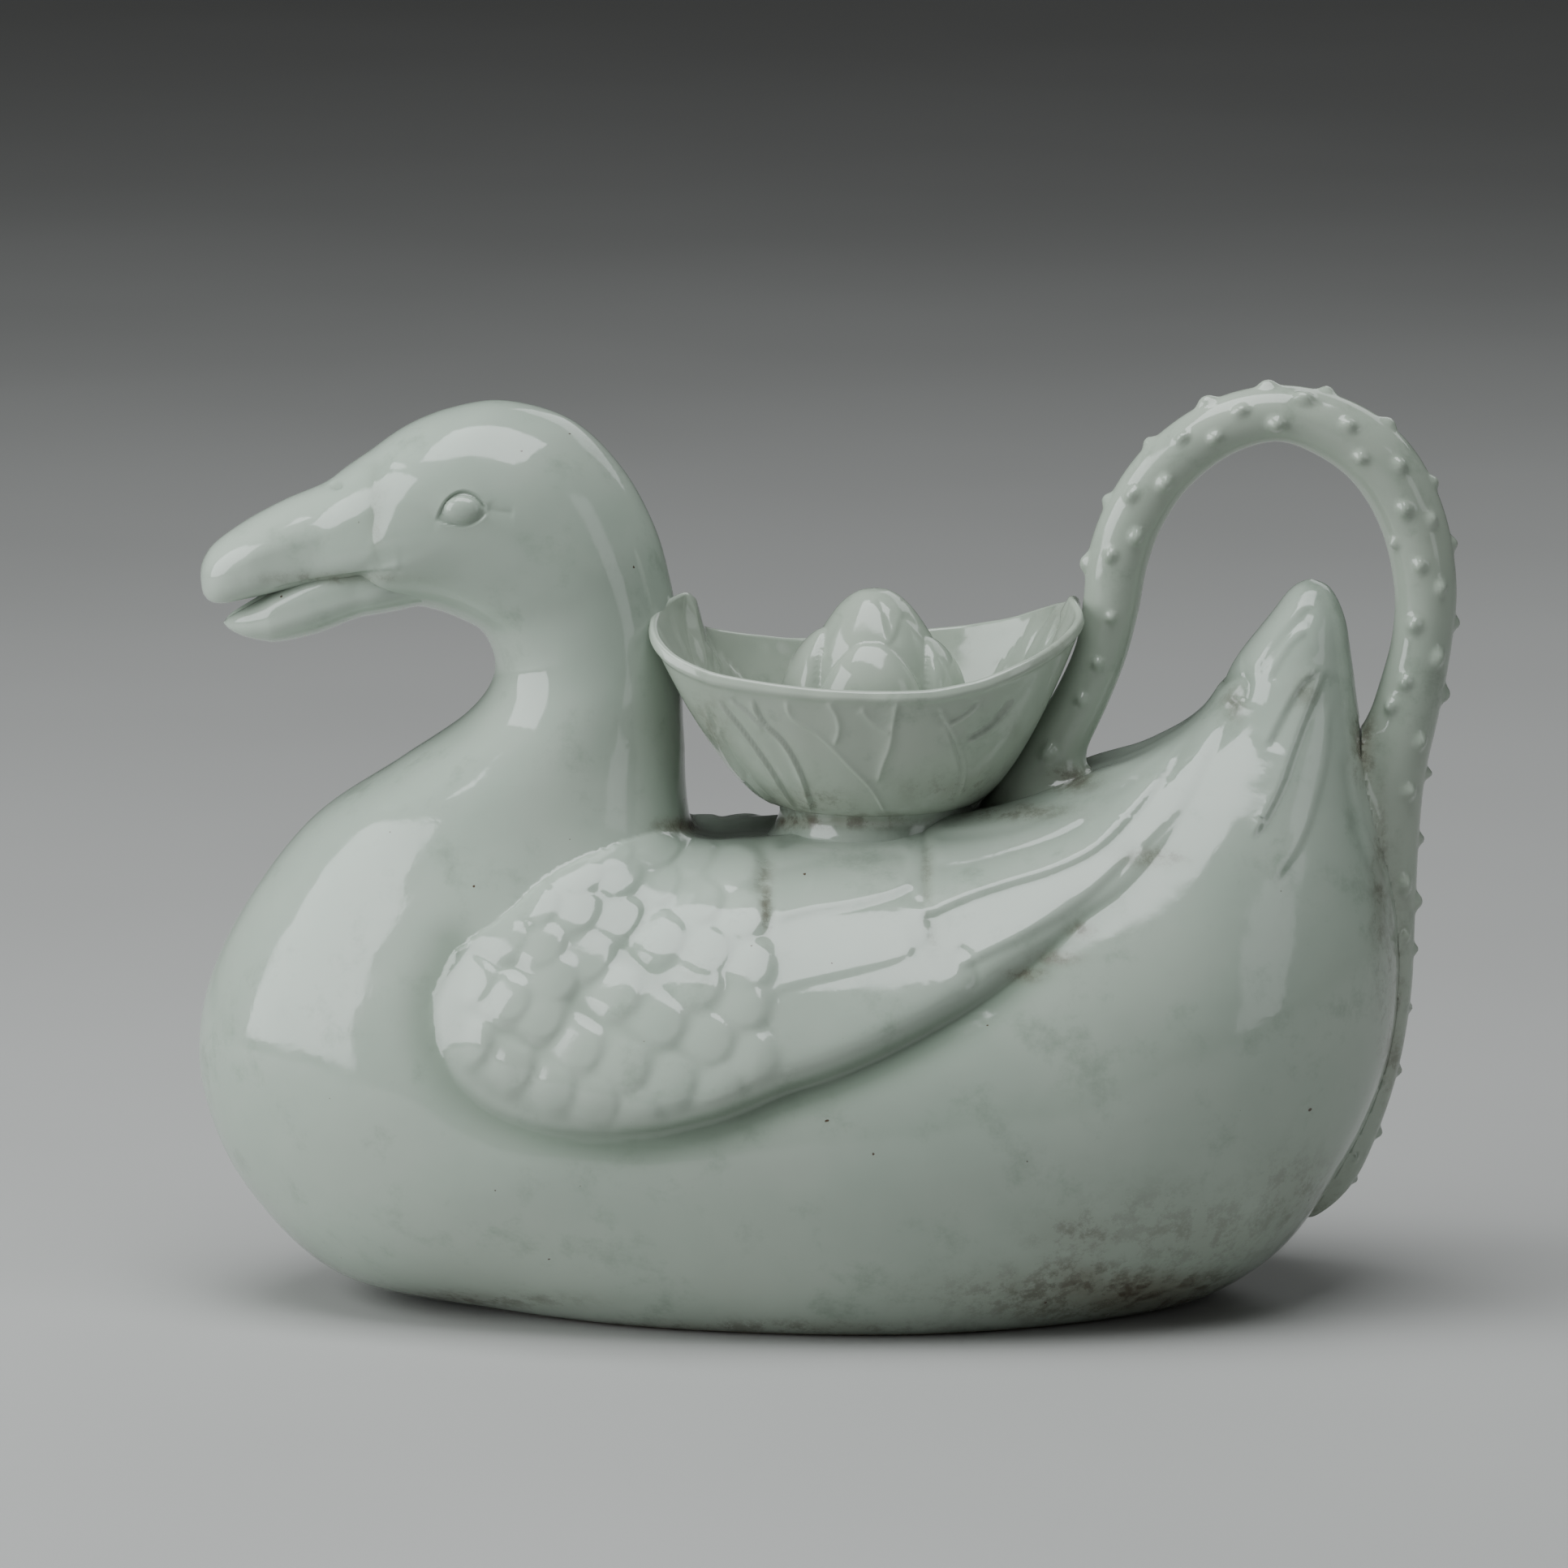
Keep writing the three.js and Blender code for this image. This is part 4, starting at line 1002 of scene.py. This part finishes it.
def thorn_places():
    """Share of the length, angle round the stem and size of each thorn, near side, outer line
    and far side, where they stand between those of the near side."""
    rng = np.random.default_rng(THORN_SEED)

    def askew(most):
        return rng.uniform(-most, most)

    places = [(share, askew(OUTER_THORN_TURN)) for share in OUTER_THORNS]
    places += [(share, -math.acos(out)) for share, out in SIDE_THORNS]
    for share, out in SIDE_THORNS:
        places.append((share + FAR_THORN_SHIFT, math.acos(out) + askew(FAR_THORN_TURN)))
    thorns = []
    for share, angle in places:
        loss = LOW_THORN_LOSS * smoothly(*LOW_THORNS, share)
        thorns.append((share, angle, rng.uniform(*THORN_SIZES) * (1 - loss)))
    return thorns


def stem_form(source_tree, source):
    shares = np.linspace(0, 1, STEM_RINGS)
    centres, outwards, radii = stem_frames(shares)
    ending = ((shares - 1 + STEM_END) / STEM_END).clip(0, STEM_END_CLOSING)
    radii = radii * np.sqrt(1 - ending**2)
    length = np.concatenate([[0], np.linalg.norm(np.diff(centres, axis=0), axis=1).cumsum()])
    angles = turns(STEM_SIDES, -math.pi)
    height = np.zeros((STEM_RINGS, STEM_SIDES))
    for share, angle, size in thorn_places():
        along = (length - np.interp(share, shares, length)) / THORN_LENGTH
        turn = turn_between(angle, angles)
        reach = np.hypot(along[:, None], turn[None, :] * radii[:, None]) / (THORN_RADIUS * size)
        knob = THORN_HEIGHT * size * np.exp(-(THORN_SLOPE * reach) ** THORN_BLUNTNESS)
        height = np.maximum(height, knob)
    across = np.array([0.0, 1.0, 0.0])
    outward_share, across_share = np.cos(angles)[:, None], np.sin(angles)[:, None]
    direction = outwards[:, None] * outward_share + across * across_share
    rings = centres[:, None] + direction * (radii[:, None] + height)[:, :, None]
    low, high = STEM_FILLETS
    fillets = low + (high - low) * smoothly(*STEM_FILLET_HEIGHTS, centres[:, 2])
    rings = luted(rings, direction, source_tree, fillets)
    stem = tube_object("handle_stem_form", rings, centres[0], centres[-1])
    cut(stem, source)
    return stem


# The leaf cup and its foot


def cup_rim(angles):
    """Reach and height of the leaf's rim at angles round the cup, its corners rounded."""
    weights = np.exp(-(RIM_SAMPLES**2))
    degrees = np.degrees(angles[:, None] + np.radians(CUP_RIM_SOFTNESS) * RIM_SAMPLES)
    degrees = (degrees + 180) % 360 - 180
    heading, *sizes = CUP_RIM.T
    reach, height = (np.interp(degrees, heading, size) @ weights / weights.sum() for size in sizes)
    return reach[:, None], height[:, None] - CUP_RIM_WALL / 2


def cup_outside(angles, shares):
    """Radius and height of the cup's outer side, for angles round it and shares up it."""
    reach, height = cup_rim(angles)
    towards_tail = (np.cos(angles)[:, None] + 1) / 2
    fullness = CUP_FRONT_FULLNESS + (CUP_REAR_FULLNESS - CUP_FRONT_FULLNESS) * towards_tail
    fullness = fullness + CUP_FLARE * smoothly(*CUP_FLARE_REACH, reach) * (1 - towards_tail)
    radius = CUP_FOOT_RADIUS + (reach - CUP_FOOT_RADIUS) * shares[None, :] ** fullness
    return radius, cup_floor() + height * shares[None, :]


def leaf_folds(side, around, lines, mirrored):
    """Height of the leaf's carved lines on one side of its wall."""
    pixels = in_photo(turned(side, around).reshape(-1, 3), mirrored)
    return carving(pixels, lines, SHARP_LINE).reshape(side.shape[:2])


def cup_form():
    """The lotus leaf curled into a cup: outside with veins, rolled lip, inside and floor."""
    angles = turns(CUP_SIDES, -math.pi)
    around = around_axis(angles)
    shares = np.linspace(0, 1, CUP_OUTER_STEPS) ** CUP_STEP_POWER
    outside = np.stack(cup_outside(angles, shares), 2)
    tangent = np.gradient(outside, axis=1)
    tangent /= np.linalg.norm(tangent, axis=2)[:, :, None]
    tangent[:, 0] = (1, 0)
    inward = np.stack([-tangent[:, :, 1], tangent[:, :, 0]], 2)
    wall = CUP_WALL + (CUP_RIM_WALL - CUP_WALL) * smoothly(CUP_THINNING, 1, shares)
    inner_steps = np.linspace(0, CUP_OUTER_STEPS - 1, CUP_INNER_STEPS).astype(int)
    within = (outside + inward * wall[:, None])[:, inner_steps]

    middle = (outside[:, -1] + within[:, -1]) / 2
    lip = []
    for turn in np.linspace(0, math.pi, LIP_STEPS)[1:-1]:
        out = -inward[:, -1] * math.cos(turn) + tangent[:, -1] * math.sin(turn)
        lip.append(middle + out * CUP_RIM_WALL / 2)
    below_rim = (outside[:, -1:, 1] - outside[:, :, 1]) / LIP_HEIGHT
    roll = LIP_ROLL * np.exp(-((below_rim - LIP_MIDDLE) ** 2) * 2)

    veins = leaf_folds(outside, around, CUP_LINES, True) * smoothly(0, CUP_FOOT_FADE, shares)
    outside = outside - inward * (veins + roll)[:, :, None]
    inner_folds = leaf_folds(within, around, CUP_INNER_LINES, False)
    within = within + inward[:, inner_steps] * inner_folds[:, :, None]

    steps = np.linspace(0, 1, CUP_FLOOR_STEPS)[:, None]
    inner_end = np.array([FILLER_RADIUS, cup_floor() + CUP_WALL])
    outer_end = np.array([FILLER_RADIUS, cup_floor()])
    inner_floor = within[:, :1] + (inner_end - within[:, :1]) * steps[1:]
    outer_floor = outer_end + (outside[:, :1] - outer_end) * steps[:-1]
    sides = [outside, np.stack(lip, 1), within[:, ::-1], inner_floor, outer_floor]
    return hoop_object("leaf_cup_form", turned(np.concatenate(sides, 1), around))


def foot_form(source_tree):
    """The ring of clay under the cup, with the glaze that fills the corner at its root."""
    around = around_axis(turns(FOOT_SIDES))
    rings = []
    for drop in np.linspace(0, FOOT_DEPTH, FOOT_RINGS):
        waist = FOOT_WAIST * math.sin(math.pi * min(drop / FOOT_WAIST_DEPTH, 1))
        height = cup_floor() + FOOT_OVERLAP - drop
        rings.append(around * (CUP_FOOT_RADIUS - waist) + [FILLER_X, 0, height])
    rings = np.array(rings)
    fillets = np.full(FOOT_RINGS, FOOT_FILLET)
    rings = luted(rings, np.broadcast_to(around, rings.shape), source_tree, fillets)
    bore = [around * FILLER_RADIUS + [FILLER_X, 0, rings[k, :, 2].mean()] for k in (-1, 0)]
    return hoop_object("cup_foot_form", np.concatenate([rings, bore]).transpose(1, 0, 2))


# The bud and its plug


def bud_floor():
    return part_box("bud_core")[0].z / MM


def petal_rise(heights, angles):
    """How far the low petals stand out from the bud at each height and angle."""
    out = np.zeros(np.broadcast(heights, angles).shape)
    for heading, half_angle, top, thickness in PETALS:
        across = np.abs(turn_between(math.radians(heading), angles) / math.radians(half_angle))
        up = heights / top
        reach = (across**PETAL_SQUARENESS + up**PETAL_SQUARENESS) ** (1 / PETAL_SQUARENESS)
        pillow = np.sqrt(np.clip(1 - reach**PETAL_FULLNESS, 0, 1))
        out = np.maximum(out, thickness * pillow)
    return out


def bud_form():
    """The lotus bud: its closed core with the low petals standing out from it."""
    stations = np.linspace(BUD_START, len(BUD_PROFILE) - 1 - BUD_END, BUD_RINGS)
    profile = np.maximum(through(BUD_PROFILE, stations), [BUD_TIP_RADIUS, 0])
    angles = turns(BUD_SIDES)
    around = around_axis(angles)
    heights = profile[:, 1:]
    rise = petal_rise(heights, angles[None, :])
    rise *= PETAL_FOOT_SHARE + (1 - PETAL_FOOT_SHARE) * smoothly(0, PETAL_FOOT, heights)
    radii = profile[:, :1] + rise
    bottom = np.array([FILLER_X, 0, bud_floor()])
    rings = around * radii[:, :, None] + bottom
    rings[:, :, 2] += heights
    pixels = in_photo(rings.reshape(-1, 3), False)
    carved = carving(pixels, BUD_LINES, SOFT_LINE).reshape(radii.shape)
    rings += around * carved[:, :, None]
    return tube_object("bud_form", rings, bottom, bottom + [0, 0, BUD_PROFILE[-1, 1]])


def plug_form():
    """The bare clay plug under the bud, slightly tapered, its lower edge worn round."""
    around = around_axis(turns(PLUG_SIDES))
    rows = through(PLUG_PROFILE, np.linspace(0, len(PLUG_PROFILE) - 1, PLUG_RINGS))
    rings = np.array([around * r + [FILLER_X, 0, bud_floor() + z] for r, z in rows])
    return tube_object("stopper_plug_form", rings, rings[0].mean(0), rings[-1].mean(0))


# Materials


class Shading:
    """A material whose nodes are added one by one."""

    def __init__(self, name):
        self.material = bpy.data.materials.new(name)
        self.material.use_nodes = True
        self.tree = self.material.node_tree
        self.tree.nodes.clear()
        self.shader = self.tree.nodes.new("ShaderNodeBsdfPrincipled")
        output = self.tree.nodes.new("ShaderNodeOutputMaterial")
        self.fill(output, {"Surface": self.shader.outputs[0]})
        self.place = self.add("ShaderNodeTexCoord", {}, "Object")

    def fill(self, node, values):
        """Sets a node's inputs to numbers or colours, or links them to another node's output."""
        for name, value in values.items():
            if isinstance(value, bpy.types.NodeSocket):
                self.tree.links.new(value, node.inputs[name])
            else:
                node.inputs[name].default_value = (*value, 1) if isinstance(value, tuple) else value

    def add(self, kind, inputs, output=0, **settings):
        """Adds a node and gives back one of its outputs."""
        node = self.tree.nodes.new(kind)
        for name, value in settings.items():
            setattr(node, name, value)
        self.fill(node, inputs)
        return node.outputs[output]

    def noise(self, scale, detail, rough):
        """Noise with so many swells to a metre, so much detail on them and so rough a detail."""
        inputs = {"Vector": self.place, "Scale": scale, "Detail": detail, "Roughness": rough}
        return self.add("ShaderNodeTexNoise", inputs)

    def ramp(self, value, low, high, start=0.0, end=1.0):
        """Maps a value between low and high onto start to end."""
        inputs = {"Value": value, "From Min": low, "From Max": high, "To Min": start, "To Max": end}
        return self.add("ShaderNodeMapRange", inputs, interpolation_type="SMOOTHSTEP")

    def math(self, operation, first, second):
        return self.add("ShaderNodeMath", {0: first, 1: second}, operation=operation)

    def mix(self, share, first, second):
        """Mixes two colours."""
        return self.add("ShaderNodeMix", {0: share, 6: first, 7: second}, 2, data_type="RGBA")

    def attribute(self, name):
        return self.add("ShaderNodeAttribute", {}, "Fac", attribute_name=name)

    def bump(self, height, depth, **after):
        """Bumps of a depth in millimetres, laid over those of the Normal in after."""
        return self.add("ShaderNodeBump", {"Height": height, "Distance": depth * MM, **after})


def glaze(name, colour, pool_and_shade_tone):
    """A glossy pale glaze, greener and darker where it pools and where shade is painted, with
    stains that also paint shade, a few specks and waviness, and the bare clay of the foot."""
    s = Shading(name)
    cloud = s.ramp(s.noise(22, 4, 0.6), 0.35, 0.7)
    tone = s.mix(cloud, colour, tuple(c * k for c, k in zip(colour, GLAZE_CLOUD)))
    tone = s.mix(s.ramp(s.noise(75, 5, 0.7), 0.52, 0.75, 0, 0.5), tone, pool_and_shade_tone)
    # Painted shade and pooled glaze, darker and greener, where the skin is carved and along the
    # wing's edge
    tone = s.mix(s.math("MULTIPLY", s.attribute("pool_and_shade"), 0.8), tone, pool_and_shade_tone)
    # Stains, partly painted shade in grooves, under the wing's edge and round the cup's foot
    grime_and_shade = s.attribute("grime_and_shade")
    veil_and_shade = s.math("MULTIPLY", grime_and_shade, s.ramp(s.noise(45, 4, 0.65), 0.3, 0.6, 0.2, 0.8))
    tone = s.mix(veil_and_shade, tone, VEIL_AND_SHADE)
    dirt_and_shade = s.math("MULTIPLY", grime_and_shade, s.ramp(s.noise(210, 6, 0.75), 0.45, 0.62))
    tone = s.mix(dirt_and_shade, tone, DIRT_AND_SHADE)
    specks = s.ramp(s.noise(520, 1, 0.4), 0.815, 0.83)
    tone = s.mix(specks, tone, SPECK)
    grit = s.ramp(s.noise(600, 4, 0.7), 0.4, 0.65)
    bare = s.attribute("bare")
    tone = s.mix(bare, tone, s.mix(grit, FOOT_PALE, FOOT_DARK))
    rough = s.ramp(s.noise(90, 3, 0.6), 0.3, 0.75, 0.06, 0.14)
    rough = s.math("ADD", rough, s.math("MULTIPLY", dirt_and_shade, 0.3))
    rough = s.math("ADD", rough, s.math("MULTIPLY", bare, 0.6))
    wave = s.bump(s.noise(48, 2, 0.4), 0.5)
    peel = s.bump(s.noise(380, 2, 0.5), 0.03, Normal=wave)
    s.fill(s.shader, {"Base Color": tone, "Roughness": rough, "Normal": peel, "IOR": GLAZE_IOR})
    return s.material


def bare_clay():
    s = Shading("bare_clay")
    cloud = s.ramp(s.noise(60, 6, 0.7), 0.3, 0.7)
    tone = s.mix(cloud, CLAY_PALE, CLAY_DARK)
    grit = s.ramp(s.noise(700, 2, 0.6), 0.62, 0.7)
    tone = s.mix(grit, tone, CLAY_GRIT)
    rough = s.ramp(cloud, 0, 1, 0.72, 0.9)
    grain = s.bump(s.noise(900, 5, 0.7), 0.15)
    s.fill(s.shader, {"Base Color": tone, "Roughness": rough, "Normal": grain})
    return s.material


def floor_paint():
    s = Shading("floor_paint")
    tone = s.mix(s.ramp(s.noise(3, 3, 0.5), 0.3, 0.7), FLOOR_PALE, FLOOR_DARK)
    s.fill(s.shader, {"Base Color": tone, "Roughness": FLOOR_ROUGHNESS})
    return s.material


# The stage


def make_camera():
    back, _, _ = camera_axes()
    data = bpy.data.cameras.new("photo_camera")
    data.sensor_width = SENSOR_WIDTH
    data.lens = SENSOR_WIDTH * CAMERA_DISTANCE / PHOTO_WIDTH
    data.clip_end = 50
    camera = object_of("photo_camera", data)
    camera.location = (CAMERA_TARGET + back * CAMERA_DISTANCE) * MM
    camera.rotation_euler = Vector(-back).to_track_quat("-Z", "Y").to_euler()
    bpy.context.scene.camera = camera


def soft_light(name, place, size, power):
    data = bpy.data.lights.new(name, "AREA")
    data.shape = "RECTANGLE"
    data.size, data.size_y = size
    data.energy = power
    data.color = LIGHT_COLOUR
    light = object_of(name, data)
    light.location = place
    aim = Vector(LIGHT_TARGET) - Vector(place)
    light.rotation_euler = aim.to_track_quat("-Z", "Y").to_euler()


def make_stage():
    mesh = bpy.data.meshes.new("floor")
    low, high = -FLOOR_REACH, FLOOR_REACH
    corners = [(low, low, 0), (high, low, 0), (high, high, 0), (low, high, 0)]
    mesh.from_pydata(corners, [], [range(4)])
    floor = object_of("floor", mesh)
    mesh.materials.append(floor_paint())
    world = bpy.data.worlds.new("studio")
    world.use_nodes = True
    backdrop = world.node_tree.nodes["Background"]
    backdrop.inputs["Color"].default_value = SURROUNDINGS
    backdrop.inputs["Strength"].default_value = SURROUNDINGS_STRENGTH
    bpy.context.scene.world = world
    for name, light in LIGHTS.items():
        soft_light(name, *light)


# The pieces


def dress(piece, material, slot_name, body, *nodes):
    """Gives a piece its material and its body, and hides the nodes that it stands for; slot_name is
    not used.
    """
    if material is not clay:
        stain_and_shade(piece)
    piece.data.materials.clear()
    piece.data.materials.append(material)
    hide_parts(*nodes)
    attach(piece, body)


make_camera()
make_stage()
glazed = glaze("glazed_porcelain", GLAZE, GLAZE_POOL_AND_SHADE)
leaf = glaze("leaf_glaze", LEAF, LEAF_POOLED)
clay = bare_clay()
source = duck_source("duck_source")
source_tree = tree_of(source)

dress(
    duck_form(source_tree), glazed, "glazed_porcelain", "ewer",
    "base_slab", "body_left_shell", "body_right_shell", "tail", "neck_tube", "head_shell",
    "left_wing", "right_wing", "left_eye", "right_eye",
)
dress(lower_bill_form(source_tree), glazed, "glazed_porcelain", "ewer", "lower_bill")
dress(stem_form(source_tree, source), leaf, "leaf_glaze", "ewer", "handle_stem")
dress(cup_form(), leaf, "leaf_glaze", "ewer", "leaf_cup")
dress(foot_form(source_tree), glazed, "glazed_porcelain", "ewer", "cup_foot_ring")
dress(
    bud_form(), leaf, "leaf_glaze", "stopper",
    "bud_core", *[f"bud_petal_{i + 1}" for i in range(len(PETALS))],
)
dress(plug_form(), clay, "bare_clay", "stopper", "stopper_plug")
remove(source)
